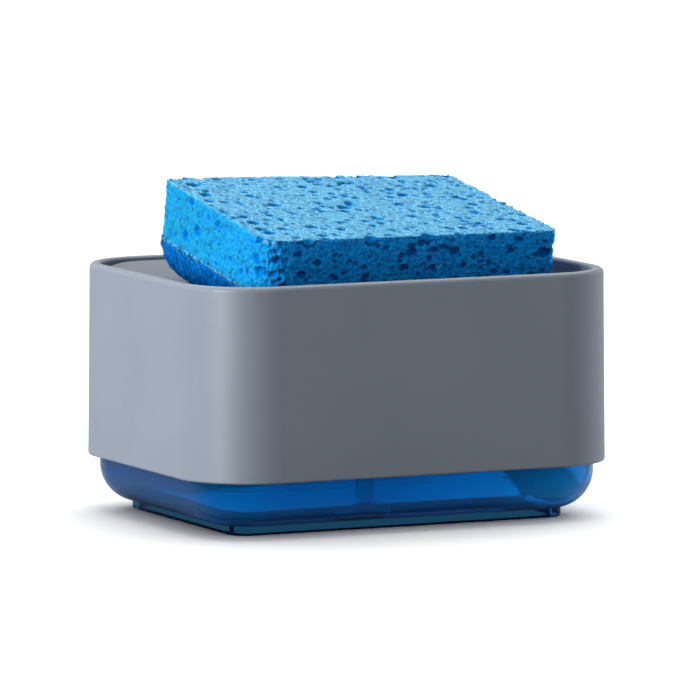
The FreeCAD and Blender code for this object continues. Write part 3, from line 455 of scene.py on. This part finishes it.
class Tree(Wiring):
    """A geometry node tree being wired, with named inputs."""

    def __init__(self, name, **sizes):
        super().__init__(bpy.data.node_groups.new(name, "GeometryNodeTree"))
        face = self.tree.interface
        face.new_socket("Geometry", in_out="INPUT", socket_type="NodeSocketGeometry")
        self.values = {}
        for label, value in sizes.items():
            kind = {float: "NodeSocketFloat", int: "NodeSocketInt"}.get(type(value), "NodeSocketMaterial")
            socket = face.new_socket(label.replace("_", " ").capitalize(), in_out="INPUT", socket_type=kind)
            self.values[socket.identifier] = value
        face.new_socket("Geometry", in_out="OUTPUT", socket_type="NodeSocketGeometry")
        entry = self.tree.nodes.new("NodeGroupInput")
        self.geometry = entry.outputs[0]
        self.inputs = dict(zip(sizes, entry.outputs[1:]))

    def scaled(self, vector, scale):
        return self.add("ShaderNodeVectorMath", {0: vector, "Scale": scale}, operation="SCALE").outputs[0]

    def vector(self, operation, *values):
        return self.add("ShaderNodeVectorMath", dict(enumerate(values)), operation=operation).outputs[0]

    def height(self, vector):
        return self.add("ShaderNodeSeparateXYZ", {0: vector}).outputs["Z"]

    def store(self, geometry, name, value, domain="POINT"):
        inputs = {"Geometry": geometry, "Name": name, "Value": value}
        return self.add("GeometryNodeStoreNamedAttribute", inputs, domain=domain).outputs[0]

    def relief(self, place, size, height, detail):
        """Unevenness about zero, whose features have about this size and height in metres."""
        inputs = {"Vector": place, "Scale": 1 / size, "Detail": detail}
        noise = self.add("ShaderNodeTexNoise", inputs).outputs[0]
        return self.math("MULTIPLY", self.math("SUBTRACT", noise, 0.5), height)

    def finish(self, parts, material):
        """Joins the parts, in order, and ends the tree."""
        joined = self.add("GeometryNodeJoinGeometry")
        for part in parts:
            self.tree.links.new(part, joined.inputs[0])
        geometry = joined.outputs[0]
        whole = self.add("GeometryNodeRealizeInstances", {"Geometry": geometry}).outputs[0]
        dressed = self.add("GeometryNodeSetMaterial", {"Geometry": whole, "Material": material}).outputs[0]
        self.tree.links.new(dressed, self.tree.nodes.new("NodeGroupOutput").inputs[0])

    def run(self, name, mesh):
        """Runs the tree on a mesh and returns an object with the plain result."""
        carrier = put(name, mesh)
        modifier = carrier.modifiers.new("Rule", "NODES")
        modifier.node_group = self.tree
        for identifier, value in self.values.items():
            modifier[identifier] = value
        carrier.update_tag()
        made = carrier.evaluated_get(bpy.context.evaluated_depsgraph_get())
        result = bpy.data.meshes.new_from_object(made)
        carrier.modifiers.remove(modifier)
        carrier.data = result
        bpy.data.meshes.remove(mesh)
        return carrier


# Loose fibres: how deep their ends sit as a share of their length, how far they tip, and their least and most size
FIBRE_SINK = 0.08
FIBRE_TIP = 0.25
FIBRE_SIZES = (0.5, 1.3)


def fibres(tree, surface, chosen, kind, seed, bow_share):
    """Loose fibres of one kind that lie bowed on the chosen faces of a surface."""
    density, reach, radius = (tree.inputs[f"{kind}_{size}"] for size in ("density", "length", "radius"))
    points = tree.add(
        "GeometryNodeDistributePointsOnFaces",
        {"Mesh": surface, "Selection": chosen, "Density": density, "Seed": seed},
    )
    half, bow, sunk = (tree.math("MULTIPLY", reach, part) for part in (0.5, bow_share, -FIBRE_SINK))
    ends = [
        tree.add("ShaderNodeCombineXYZ", {"X": x, "Z": z}).outputs[0]
        for x, z in ((tree.math("MULTIPLY", half, -1.0), sunk), (0.0, bow), (half, sunk))
    ]
    path = tree.add(
        "GeometryNodeCurveQuadraticBezier", {"Resolution": 4, "Start": ends[0], "Middle": ends[1], "End": ends[2]}
    )
    ring = tree.add("GeometryNodeCurvePrimitiveCircle", {"Resolution": 3, "Radius": radius})
    fibre = tree.add(
        "GeometryNodeCurveToMesh",
        {"Curve": path.outputs[0], "Profile Curve": ring.outputs[0], "Fill Caps": True},
    )
    spin = tree.add(
        "FunctionNodeRandomValue",
        {"Min": (-FIBRE_TIP, -FIBRE_TIP, 0.0), "Max": (FIBRE_TIP, FIBRE_TIP, math.tau), "Seed": seed},
        data_type="FLOAT_VECTOR",
    )
    turned = tree.add(
        "FunctionNodeRotateRotation",
        {"Rotation": points.outputs["Rotation"], "Rotate By": spin.outputs[0]},
        rotation_space="LOCAL",
    )
    least, most = FIBRE_SIZES
    size = tree.add("FunctionNodeRandomValue", {2: least, 3: most, "Seed": seed}, data_type="FLOAT")
    placed = tree.add(
        "GeometryNodeInstanceOnPoints",
        {
            "Points": points.outputs["Points"],
            "Instance": fibre.outputs[0],
            "Rotation": turned.outputs[0],
            "Scale": size.outputs[1],
        },
    )
    return placed.outputs[0]


def round_depth(tree, radius, away):
    """Depth of a round hollow at a distance from its centre."""
    inside = tree.math("SUBTRACT", tree.math("POWER", radius, 2.0), tree.math("POWER", away, 2.0))
    return tree.math("SQRT", tree.math("MAXIMUM", inside, 0.0))


def pore_layer(tree, place, cell, stretch, least, most, start, shift):
    """Depth of round pores, one in each cell of a scatter, in metres. Cells whose draw is under start have none."""
    spot = tree.vector("MULTIPLY", place, tuple(1 / value for value in stretch))
    spot = tree.scaled(spot, tree.math("DIVIDE", 1.0, cell))
    spot = tree.vector("ADD", spot, shift)
    scatter = tree.add("ShaderNodeTexVoronoi", {"Vector": spot, "Scale": 1.0, "Randomness": 0.95})
    draw = tree.add("FunctionNodeSeparateColor", {"Color": scatter.outputs["Color"]}).outputs[0]
    radius = tree.add(
        "ShaderNodeMapRange",
        {"Value": draw, "From Min": start, "From Max": 1.0, "To Min": least, "To Max": most},
        clamp=False,
    ).outputs[0]
    radius = tree.math("MULTIPLY", radius, tree.math("GREATER_THAN", draw, start))
    return tree.math("MULTIPLY", round_depth(tree, radius, scatter.outputs["Distance"]), cell)


def lone_pore(tree, place, centre, radius):
    """Depth of one round pore about a fixed centre, in metres."""
    away = tree.add("ShaderNodeVectorMath", {0: place, 1: centre}, operation="DISTANCE").outputs["Value"]
    return round_depth(tree, radius, away)


# Pore layers: pitch, stretch along each axis, least and most radius in pitches, least draw that makes a pore, shift
# of the scatter, and depth as a share of a round hollow
PORE_LAYERS = (
    ("large_cell", (1.25, 1.0, 0.8), 0.2, 0.37, 0.08, (3.7, 1.2, 5.1), 1.0),
    ("medium_cell", (1.3, 1.0, 0.85), 0.2, 0.42, 0.1, (8.3, 2.6, 0.4), 0.9),
    ("small_cell", (1.2, 1.0, 0.9), 0.18, 0.42, 0.15, (1.9, 6.8, 4.2), 0.7),
)
EDGE_PORE_DEPTH = 0.8
PORE_FULL = 0.9 * MM

# Size of the drift that puts pores and cells out of round, and how far it moves each
DRIFT_SIZE = 2.2 * MM
PORE_DRIFT = 1.4 * MM
CELL_DRIFT = 2.4 * MM

# Cells between the strands: where their wall ends and floor begins, in pitches, and depth on the sides and the top
CELL_WALL = (0.02, 0.22)
CELL_DEPTHS = (0.34 * MM, 0.07 * MM)

# Unevenness of the surface: size, height and detail of each kind, and the share of the first two that the top has
ROUGH = (0.8 * MM, 0.4 * MM, 2.0)
RAGGED = (2.2 * MM, 0.9 * MM, 1.0)
WAVE = (14 * MM, 0.6 * MM, 1.0)
CALM_TOP = 0.45

# Faces that rise no more than this count as upright. The fray keeps to a band along their foot, and the fibres of
# each kind bow and pale by these shares.
UPRIGHT = 0.5
FRAY_BAND = 0.9 * MM
FRAY_BOW, FRAY_PALENESS = 0.5, 0.4
STRAND_BOW, STRAND_PALENESS = 0.3, 0.2


def cellulose_tree(sponge, material):
    """Sinks pores and a web of cells into a block and frays its lower edge."""
    tree = Tree(
        "Cellulose block",
        large_cell=sponge.large_cell,
        medium_cell=sponge.medium_cell,
        small_cell=sponge.small_cell,
        web_cell=sponge.web_cell,
        edge_pore=sponge.edge_pore,
        fray_density=2500000.0,
        fray_length=1.9 * MM,
        fray_radius=0.11 * MM,
        fray_height=-0.5 * sponge.thickness + FRAY_BAND,
        strand_density=450000.0,
        strand_length=2.2 * MM,
        strand_radius=0.06 * MM,
        seed=sponge.seed,
        material=material,
    )
    sizes = tree.inputs
    place = tree.add("GeometryNodeInputPosition").outputs[0]
    normal = tree.add("GeometryNodeInputNormal").outputs[0]
    skin = tree.add("GeometryNodeInputNamedAttribute", {"Name": "skin"}, data_type="FLOAT").outputs["Attribute"]
    noise_inputs = {"Vector": place, "Scale": 1 / DRIFT_SIZE, "Detail": 1.0}
    drift = tree.add("ShaderNodeTexNoise", noise_inputs).outputs["Color"]
    uneven = tree.vector("MULTIPLY_ADD", drift, (PORE_DRIFT,) * 3, place)
    uneven = tree.vector("SUBTRACT", uneven, (PORE_DRIFT / 2,) * 3)
    layers = [(pore_layer(tree, uneven, sizes[pitch], *shape), depth) for pitch, *shape, depth in PORE_LAYERS]
    front_edge = (-0.5 * sponge.breadth, 0.5 * sponge.thickness)
    for x in sponge.edge_pore_places:
        layers.append((lone_pore(tree, uneven, (x, *front_edge), sizes["edge_pore"]), EDGE_PORE_DEPTH))
    carve = 0.0
    for layer, depth in layers:
        carve = tree.math("MAXIMUM", carve, tree.math("MULTIPLY", layer, depth))

    bent = tree.vector("MULTIPLY_ADD", drift, (CELL_DRIFT,) * 3, place)
    bent = tree.scaled(bent, tree.math("DIVIDE", 1.0, sizes["web_cell"]))
    cells = tree.add("ShaderNodeTexVoronoi", {"Vector": bent, "Scale": 1.0}, feature="DISTANCE_TO_EDGE").outputs[0]
    hollow = tree.span(cells, 0.0, 1.0, *CELL_WALL)
    sunk = tree.math("MAXIMUM", carve, tree.math("MULTIPLY", hollow, tree.span(skin, *CELL_DEPTHS)))
    rough, ragged, wave = (tree.relief(place, *kind) for kind in (ROUGH, RAGGED, WAVE))
    calm = tree.span(skin, 1.0, CALM_TOP)
    proud = tree.math("ADD", tree.math("MULTIPLY", tree.math("ADD", rough, ragged), calm), wave)
    outward = tree.scaled(normal, tree.math("SUBTRACT", proud, sunk))
    shaped = tree.store(tree.geometry, "pore", tree.span(carve, 0.0, 1.0, 0.0, PORE_FULL))
    shaped = tree.store(shaped, "strand", tree.math("SUBTRACT", 1.0, hollow))
    shaped = tree.add("GeometryNodeSetPosition", {"Geometry": shaped, "Offset": outward}).outputs[0]

    low = tree.math("LESS_THAN", tree.height(place), sizes["fray_height"])
    upright = tree.math("LESS_THAN", tree.math("ABSOLUTE", tree.height(normal)), UPRIGHT)
    fray = fibres(tree, shaped, tree.math("MULTIPLY", low, upright), "fray", sizes["seed"], FRAY_BOW)
    loose = fibres(tree, shaped, upright, "strand", tree.math("ADD", sizes["seed"], 1.0), STRAND_BOW)
    parts = []
    for part, paleness in ((fray, FRAY_PALENESS), (loose, STRAND_PALENESS)):
        part = tree.store(part, "skin", paleness, "INSTANCE")
        parts.append(tree.store(part, "strand", 1.0, "INSTANCE"))
    tree.finish((*parts, shaped), sizes["material"])
    return tree


# Scrubbing layer: size, height and detail of its unevenness, the rise of the faces with fibres, and the fibres' bow
WEB_ROUGH = (1.8 * MM, 0.6 * MM, 2.0)
WEB_WAVE = (10 * MM, 0.9 * MM, 1.0)
WEB_SIDES = (-0.9, 0.6)
WEB_BOW = 0.22


def scour_tree(sponge, material):
    """Roughens the scrubbing layer and lays loose fibres on its sides."""
    tree = Tree(
        "Scrubbing layer",
        fibre_density=sponge.fibre_density,
        fibre_length=sponge.fibre_length,
        fibre_radius=sponge.fibre_radius,
        seed=sponge.seed,
        material=material,
    )
    sizes = tree.inputs
    place = tree.add("GeometryNodeInputPosition").outputs[0]
    normal = tree.add("GeometryNodeInputNormal").outputs[0]
    rough, wave = (tree.relief(place, *kind) for kind in (WEB_ROUGH, WEB_WAVE))
    offset = tree.scaled(normal, tree.math("ADD", rough, wave))
    shaped = tree.add("GeometryNodeSetPosition", {"Geometry": tree.geometry, "Offset": offset}).outputs[0]
    rise = tree.height(normal)
    least, most = WEB_SIDES
    side = tree.math("MULTIPLY", tree.math("LESS_THAN", rise, most), tree.math("GREATER_THAN", rise, least))
    loose = fibres(tree, shaped, side, "fibre", sizes["seed"], WEB_BOW)
    tree.finish((loose, shaped), sizes["material"])
    return tree


def spring_tree(spring, height, material):
    """Open coil of round wire."""
    tree = Tree(
        "Return spring",
        coil_radius=spring.radius,
        wire_radius=spring.wire / 2,
        turns=spring.turns,
        height=float(height),
        material=material,
    )
    sizes = tree.inputs
    coil = tree.add(
        "GeometryNodeCurveSpiral",
        {
            "Resolution": 32,
            "Rotations": sizes["turns"],
            "Start Radius": sizes["coil_radius"],
            "End Radius": sizes["coil_radius"],
            "Height": sizes["height"],
        },
    )
    ring = tree.add("GeometryNodeCurvePrimitiveCircle", {"Resolution": 12, "Radius": sizes["wire_radius"]})
    coiled = tree.add(
        "GeometryNodeCurveToMesh", {"Curve": coil.outputs[0], "Profile Curve": ring.outputs[0], "Fill Caps": True}
    )
    tree.finish(coiled.outputs[:1], sizes["material"])
    return tree


# Meshes

def mesh_of(name, points, faces):
    mesh = bpy.data.meshes.new(name)
    mesh.from_pydata([tuple(point) for point in points], [], faces)
    mesh.update()
    return mesh


def shade_smooth(mesh):
    mesh.polygons.foreach_set("use_smooth", np.ones(len(mesh.polygons), bool))
    mesh.update()


def rounded_plan(points, half, radii):
    """Presses the corners of a rectangle's points onto round corners, each with its own radius."""
    radius = np.array(radii)[2 * (points[:, 1] > 0) + (points[:, 0] > 0)]
    core = np.array(half) - radius[:, None]
    nearest = np.clip(points, -core, core)
    beyond = points - nearest
    reach = np.abs(beyond).max(axis=1)
    span = np.hypot(*beyond.T)
    return nearest + beyond * np.divide(reach, span, out=np.ones_like(span), where=span > 0)[:, None]


def rim_loop(columns, rows):
    """Grid places once round the edge of a grid, counter-clockwise."""
    front = [(x, 0) for x in range(columns)]
    right = [(columns, y) for y in range(rows)]
    back = [(x, rows) for x in range(columns, 0, -1)]
    left = [(0, y) for y in range(rows, 0, -1)]
    return front + right + back + left


def block_mesh(half_x, half_y, low, high, corners, spacing, open_up):
    """Closed block with an even grid on its sides and on its top or bottom, and one plain face opposite."""
    columns, rows, storeys = (round(size / spacing) for size in (2 * half_x, 2 * half_y, high - low))
    xs = np.linspace(-half_x, half_x, columns + 1)
    ys = np.linspace(-half_y, half_y, rows + 1)
    grid = np.array([(x, y) for y in ys for x in xs])
    flat = rounded_plan(grid, (half_x, half_y), corners)
    face, other = (high, low) if open_up else (low, high)
    loop = [y * (columns + 1) + x for x, y in rim_loop(columns, rows)]
    count = len(flat)
    points = [np.column_stack([flat, np.full(count, face)])]
    rings = [loop]
    for level in np.linspace(face, other, storeys + 1)[1:]:
        rings.append(list(range(count, count + len(loop))))
        points.append(np.column_stack([flat[loop], np.full(len(loop), level)]))
        count += len(loop)
    faces = []
    for y in range(rows):
        for x in range(columns):
            start = y * (columns + 1) + x
            faces.append((start, start + 1, start + columns + 2, start + columns + 1))
    for upper, lower in zip(rings, rings[1:]):
        for here in range(len(loop)):
            after = (here + 1) % len(loop)
            faces.append((upper[here], lower[here], lower[after], upper[after]))
    faces.append(tuple(reversed(rings[-1])))
    if not open_up:
        faces = [tuple(reversed(face_points)) for face_points in faces]
    return np.concatenate(points), faces


# Liquid: points of the round along its bottom edge, of its rim's fall and of each corner, how wide the rim is in its
# own heights, and the least radius of a corner
EDGE_POINTS = 9
FALL_POINTS = 7
CORNER_STEPS = 12
RIM_WIDTH = 4
LEAST_CORNER = 1 * MM


def liquid_mesh(name, settings):
    """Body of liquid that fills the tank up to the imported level, with a rim that climbs the wall."""
    low, high = (np.array(corner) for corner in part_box("soap"))
    half = (high - low)[:2] / 2 + settings.soap_overlap
    floor = low[2] - settings.soap_overlap
    bend = settings.tank_round + settings.soap_overlap
    corner = settings.tank_corner + settings.soap_overlap
    rim = settings.soap_meniscus
    angles = np.linspace(0, math.pi / 2, EDGE_POINTS)
    profile = [(bend * (1 - math.sin(angle)), floor + bend * (1 - math.cos(angle))) for angle in angles]
    profile += [(0.0, high[2] + rim)]
    fall = np.linspace(0, 1, FALL_POINTS)[1:]
    profile += [(RIM_WIDTH * rim * x, high[2] + rim * (1 - x) ** 2) for x in fall]
    points, rings = [], []
    for inset, level in profile:
        radius = max(corner - inset, LEAST_CORNER)
        core = half - inset - radius
        ring = []
        for quarter, sign in enumerate(((1, 1), (-1, 1), (-1, -1), (1, -1))):
            for step in range(CORNER_STEPS + 1):
                angle = (quarter + step / CORNER_STEPS) * math.pi / 2
                ring.append(len(points))
                points.append((*(sign * core + radius * np.array((math.cos(angle), math.sin(angle)))), level))
        rings.append(ring)
    faces = [tuple(reversed(rings[0]))]
    for below, above in zip(rings, rings[1:]):
        for here in range(len(below)):
            after = (here + 1) % len(below)
            faces.append((below[here], below[after], above[after], above[here]))
    faces.append(tuple(rings[-1]))
    return mesh_of(name, points, faces)


def sponge_place(sponge):
    """Where the middle of the cellulose layer lies, and how it is turned."""
    low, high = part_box("sponge_block")
    turn = Euler((sponge.slope, 0, 0)).to_matrix() @ Euler((0, 0, sponge.yaw)).to_matrix()
    return Matrix.Translation((Vector(low) + Vector(high)) / 2) @ turn.to_4x4()


# How far the sponge's corners stand up, left and right, at its front and its rear, and how the lean grows with height
FRONT_LIFT = (1.4 * MM, -1.4 * MM)
REAR_LIFT = (2.5 * MM, -2.4 * MM)
LEAN_POWER = 0.35


def lean(points, sponge):
    """The sponge stands a little higher at its left end, more so towards its top."""
    across = np.clip(points[:, 0] / sponge.length + 0.5, 0, 1)
    along = np.clip(points[:, 1] / sponge.breadth + 0.5, 0, 1)
    front, rear = (left + (right - left) * across for left, right in (FRONT_LIFT, REAR_LIFT))
    foot = -0.5 * sponge.thickness - sponge.pad_thickness
    height = (points[:, 2] - foot) / (sponge.thickness + sponge.pad_thickness)
    moved = points.copy()
    moved[:, 2] += (front + (rear - front) * along) * np.clip(height, 0, 1) ** LEAN_POWER
    return moved


def place_sponge_layer(piece, sponge):
    """Leans a finished layer and puts it in its place on the tray."""
    mesh = piece.data
    places = np.empty(len(mesh.vertices) * 3)
    mesh.vertices.foreach_get("co", places)
    mesh.vertices.foreach_set("co", lean(places.reshape(-1, 3), sponge).ravel())
    mesh.transform(sponge_place(sponge))
    shade_smooth(mesh)
    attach(piece, "sponge")


def dress(material, *names):
    """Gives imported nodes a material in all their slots."""
    for name in names:
        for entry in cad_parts[name].material_slots:
            entry.material = material


# Operators

class CADDY_OT_dress_shells(Operator):
    """Gives the sleeve, the tray and the deck their grey moulded finish"""

    bl_idname = "caddy.dress_shells"
    bl_label = "Dress grey shells"

    def execute(self, context):
        finish = context.scene.caddy_finish
        grain = finish.grain_size
        sleeve = moulded_plastic("sleeve_grey", finish.sleeve_colour, roughness=0.4, grain=grain)
        dress(sleeve, "outer_sleeve")
        tray = moulded_plastic("tray_grey", finish.tray_colour, roughness=0.6, grain=grain, gloss=0.2)
        dress(tray, "press_tray", "pump_deck")
        return {"FINISHED"}


class CADDY_OT_dress_tank(Operator):
    """Makes the tank clear and fills it with blue liquid"""

    bl_idname = "caddy.dress_tank"
    bl_label = "Dress tank and liquid"

    def execute(self, context):
        finish = context.scene.caddy_finish
        dress(tank_plastic("tank_clear_plastic", finish), "reservoir")
        mesh = liquid_mesh("blue_soap", finish)
        mesh.materials.append(soap_liquid("blue_soap_liquid", finish))
        shade_smooth(mesh)
        piece = put("blue_soap", mesh)
        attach(piece, "tank")
        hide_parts("soap")
        return {"FINISHED"}


class CADDY_OT_dress_pump(Operator):
    """Gives the pump, the valves, the seals and the screws their finishes"""

    bl_idname = "caddy.dress_pump"
    bl_label = "Dress pump"

    def execute(self, context):
        finish = context.scene.caddy_finish
        grain = 0.5 * finish.grain_size
        white = moulded_plastic("pump_white", finish.pump_colour, roughness=0.4, grain=grain)
        dress(white, "pump_collar", "stem_guide", "pump_stem", "ball_cage", "valve_retainer")
        dress(moulded_plastic("piston_natural", finish.piston_colour, roughness=0.45, grain=grain), "piston")
        natural = clear_plastic("pump_natural_plastic", finish.natural_tint, roughness=0.12, refraction=1.1)
        natural.shader.inputs["Transmission Weight"].default_value = finish.natural_clearness
        dress(natural.material, "pump_cylinder", "dip_tube")
        dress(soft_rubber("silicone_pale", finish.seal_colour), "outlet_valve", "tank_seal", "collar_gasket")
        dress(drawn_steel("steel_drawn"), "deck_screws", "inlet_ball")
        return {"FINISHED"}


class CADDY_OT_wind_spring(Operator):
    """Winds the return spring to the imported spring's length. The real spring closes up as the tray is pressed"""

    bl_idname = "caddy.wind_spring"
    bl_label = "Wind return spring"

    def execute(self, context):
        spring = context.scene.caddy_spring
        low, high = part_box("return_spring")
        height = high[2] - low[2] - spring.wire
        tree = spring_tree(spring, height, drawn_steel("steel_spring"))
        piece = tree.run("coil_spring", mesh_of("coil", [(0, 0, 0)], []))
        piece.data.transform(Matrix.Translation((0, 0, low[2] + spring.wire / 2)))
        shade_smooth(piece.data)
        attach(piece, "top")
        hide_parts("return_spring")
        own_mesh(piece)
        return {"FINISHED"}


# Flat top of the sponge: its share at the edge, how fast it grows inward, and its scatter. The lip at the foot is as
# high as this and has a share between these.
SKIN_EDGE = 0.55
SKIN_REACH = 1.3 * MM
SKIN_SCATTER = 0.25
LIP_HEIGHT = 0.8 * MM
LIP_SKIN = (0.1, 0.7)


class CADDY_OT_make_sponge_block(Operator):
    """Makes the porous cellulose layer of the sponge"""

    bl_idname = "caddy.make_sponge_block"
    bl_label = "Make cellulose layer"

    def execute(self, context):
        sponge = context.scene.caddy_sponge
        half_x, half_y, half_z = sponge.length / 2, sponge.breadth / 2, sponge.thickness / 2
        points, faces = block_mesh(half_x, half_y, -half_z, half_z, sponge.corners, sponge.spacing, True)
        mesh = mesh_of("block", points, faces)
        draws = np.random.default_rng(sponge.seed)
        inward = np.minimum(half_x - np.abs(points[:, 0]), half_y - np.abs(points[:, 1]))
        skin = SKIN_EDGE + (inward - (half_z - points[:, 2])) / SKIN_REACH
        skin = skin + draws.normal(0, SKIN_SCATTER, len(points))
        lip = points[:, 2] < LIP_HEIGHT - half_z
        skin[lip] = draws.uniform(*LIP_SKIN, lip.sum())
        shares = mesh.attributes.new("skin", "FLOAT", "POINT")
        shares.data.foreach_set("value", np.clip(skin, 0, 1).astype(np.float32))
        piece = cellulose_tree(sponge, cellulose("cellulose_blue", sponge)).run("cellulose_block", mesh)
        place_sponge_layer(piece, sponge)
        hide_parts("sponge_block")
        return {"FINISHED"}


class CADDY_OT_make_scour_pad(Operator):
    """Makes the fibrous scrubbing layer under the sponge"""

    bl_idname = "caddy.make_scour_pad"
    bl_label = "Make scrubbing layer"

    def execute(self, context):
        sponge = context.scene.caddy_sponge
        high = -sponge.thickness / 2
        low = high - sponge.pad_thickness
        half = np.array([sponge.length / 2, sponge.breadth / 2])
        points, faces = block_mesh(*half, low, high, sponge.corners, sponge.pad_spacing, False)
        rise = np.clip((points[:, 2] - low) / sponge.pad_round, 0, 1)
        inset = sponge.pad_round * (1 - np.sqrt(1 - (1 - rise) ** 2))
        points[:, :2] *= 1 - inset[:, None] / half
        mesh = mesh_of("pad", points, faces)
        piece = scour_tree(sponge, scour_web("scour_blue", sponge.scour_colour)).run("scrub_layer", mesh)
        place_sponge_layer(piece, sponge)
        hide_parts("scour_pad")
        return {"FINISHED"}


# Half side of the floor, and the place and the size of each light, in metres
FLOOR_REACH = 10.0
KEY_LIGHT = ((-1.2, 0.0, 0.4), (0.8, 0.8))
SHEEN_LIGHT = ((-1.0, -0.47, 0.3), (0.35, 0.7))
FILL_LIGHT = ((1.2, 0.22, 0.05), (0.6, 0.1))
TOP_DIRECTION = (-0.2, -0.35, -1.0)
TOP_ANGLE = math.radians(70)
SENSOR_WIDTH = 36.0
FAR_CLIP = 50.0


class CADDY_OT_build_stage(Operator):
    """Sets the floor, the lights and the camera"""

    bl_idname = "caddy.build_stage"
    bl_label = "Build studio"

    def floor(self, stage):
        corners = [(x * FLOOR_REACH, y * FLOOR_REACH, 0) for x, y in ((-1, -1), (1, -1), (1, 1), (-1, 1))]
        mesh = mesh_of("floor", corners, [(0, 1, 2, 3)])
        mesh.materials.append(studio_floor("floor_white", stage.floor_colour, stage.floor_glow))
        floor = put("studio_floor", mesh)
        return floor

    def light(self, name, place, size, aim, watts, sheen=False):
        """An area light that gives either the even light on a face or only the sheen on its curves."""
        data = bpy.data.lights.new(name, "AREA")
        data.shape = "RECTANGLE"
        data.size, data.size_y = size
        data.energy = watts
        lamp = put(name, data)
        lamp.location = place
        lamp.rotation_euler = facing(aim - Vector(place))
        lamp.visible_camera = False
        lamp.visible_transmission = False
        lamp.visible_glossy = sheen
        lamp.visible_diffuse = not sheen
        return lamp

    def lights(self, stage, middle, floor):
        """Lights at the left, at the right and overhead. Those at the sides don't fall on the floor."""
        key = self.light("key_light", *KEY_LIGHT, middle, stage.key_power)
        self.light("sheen_light", *SHEEN_LIGHT, middle, stage.sheen_power, sheen=True)
        fill = self.light("fill_light", *FILL_LIGHT, middle, stage.fill_power)
        unlit = bpy.data.collections.new("unlit_by_sides")
        unlit.objects.link(floor)
        unlit.collection_objects[0].light_linking.link_state = "EXCLUDE"
        for lamp in (key, fill):
            lamp.light_linking.receiver_collection = unlit
        sun = bpy.data.lights.new("top_light", "SUN")
        sun.energy = stage.top_strength
        sun.angle = TOP_ANGLE
        put("top_light", sun).rotation_euler = facing(TOP_DIRECTION)

    def surroundings(self, context, stage):
        """White all round, at full strength where it is seen straight or through the tank."""
        world = bpy.data.worlds.new("studio")
        world.use_nodes = True
        context.scene.world = world
        sky = Wiring(world.node_tree)
        ray = sky.add("ShaderNodeLightPath").outputs
        straight = sky.math("MAXIMUM", ray["Is Camera Ray"], ray["Is Transmission Ray"])
        backdrop = sky.tree.nodes["Background"]
        backdrop.inputs["Color"].default_value = WHITE
        sky.tree.links.new(sky.span(straight, stage.sky, 1.0), backdrop.inputs["Strength"])
        context.scene.view_settings.view_transform = "Standard"

    def camera(self, context, stage, middle):
        camera = bpy.data.cameras.new("camera")
        camera.sensor_width = SENSOR_WIDTH
        camera.lens = stage.lens
        camera.shift_x, camera.shift_y = stage.shift
        camera.clip_end = FAR_CLIP
        seat = put("camera", camera)
        level = math.cos(stage.elevation)
        back = Vector(
            (math.sin(stage.azimuth) * level, -math.cos(stage.azimuth) * level, math.sin(stage.elevation))
        )
        seat.location = middle + back * stage.distance
        seat.rotation_euler = facing(-back)
        context.scene.camera = seat

    def execute(self, context):
        stage = context.scene.caddy_stage
        middle = Vector((0, 0, stage.aim_height))
        self.lights(stage, middle, self.floor(stage))
        self.surroundings(context, stage)
        self.camera(context, stage, middle)
        return {"FINISHED"}


class CADDY_PT_panel(Panel):
    """Lists the caddy's pieces and their sizes"""

    bl_idname = "CADDY_PT_panel"
    bl_label = "Soap pump caddy"
    bl_space_type = "VIEW_3D"
    bl_region_type = "UI"
    bl_category = "Caddy"

    def draw(self, context):
        layout = self.layout
        for operator in OPERATORS:
            layout.operator(operator.bl_idname)
        for name in SETTINGS:
            group = getattr(context.scene, name)
            box = layout.box()
            for key in group.bl_rna.properties.keys():
                if key not in ("rna_type", "name"):
                    box.prop(group, key)


OPERATORS = (
    CADDY_OT_build_stage,
    CADDY_OT_dress_shells,
    CADDY_OT_dress_tank,
    CADDY_OT_dress_pump,
    CADDY_OT_wind_spring,
    CADDY_OT_make_sponge_block,
    CADDY_OT_make_scour_pad,
)
SETTINGS = {
    "caddy_finish": CaddyFinish,
    "caddy_spring": CaddySpring,
    "caddy_sponge": CaddySponge,
    "caddy_stage": CaddyStage,
}


def register():
    for kind in (*SETTINGS.values(), *OPERATORS, CADDY_PT_panel):
        bpy.utils.register_class(kind)
    for name, kind in SETTINGS.items():
        setattr(bpy.types.Scene, name, PointerProperty(type=kind))


def unregister():
    for name in SETTINGS:
        delattr(bpy.types.Scene, name)
    for kind in (CADDY_PT_panel, *reversed(OPERATORS), *SETTINGS.values()):
        bpy.utils.unregister_class(kind)


def main():
    register()
    bpy.ops.caddy.build_stage()
    bpy.ops.caddy.dress_shells()
    bpy.ops.caddy.dress_tank()
    bpy.ops.caddy.dress_pump()
    bpy.ops.caddy.wind_spring()
    bpy.ops.caddy.make_sponge_block()
    bpy.ops.caddy.make_scour_pad()


if __name__ == "__main__":
    main()
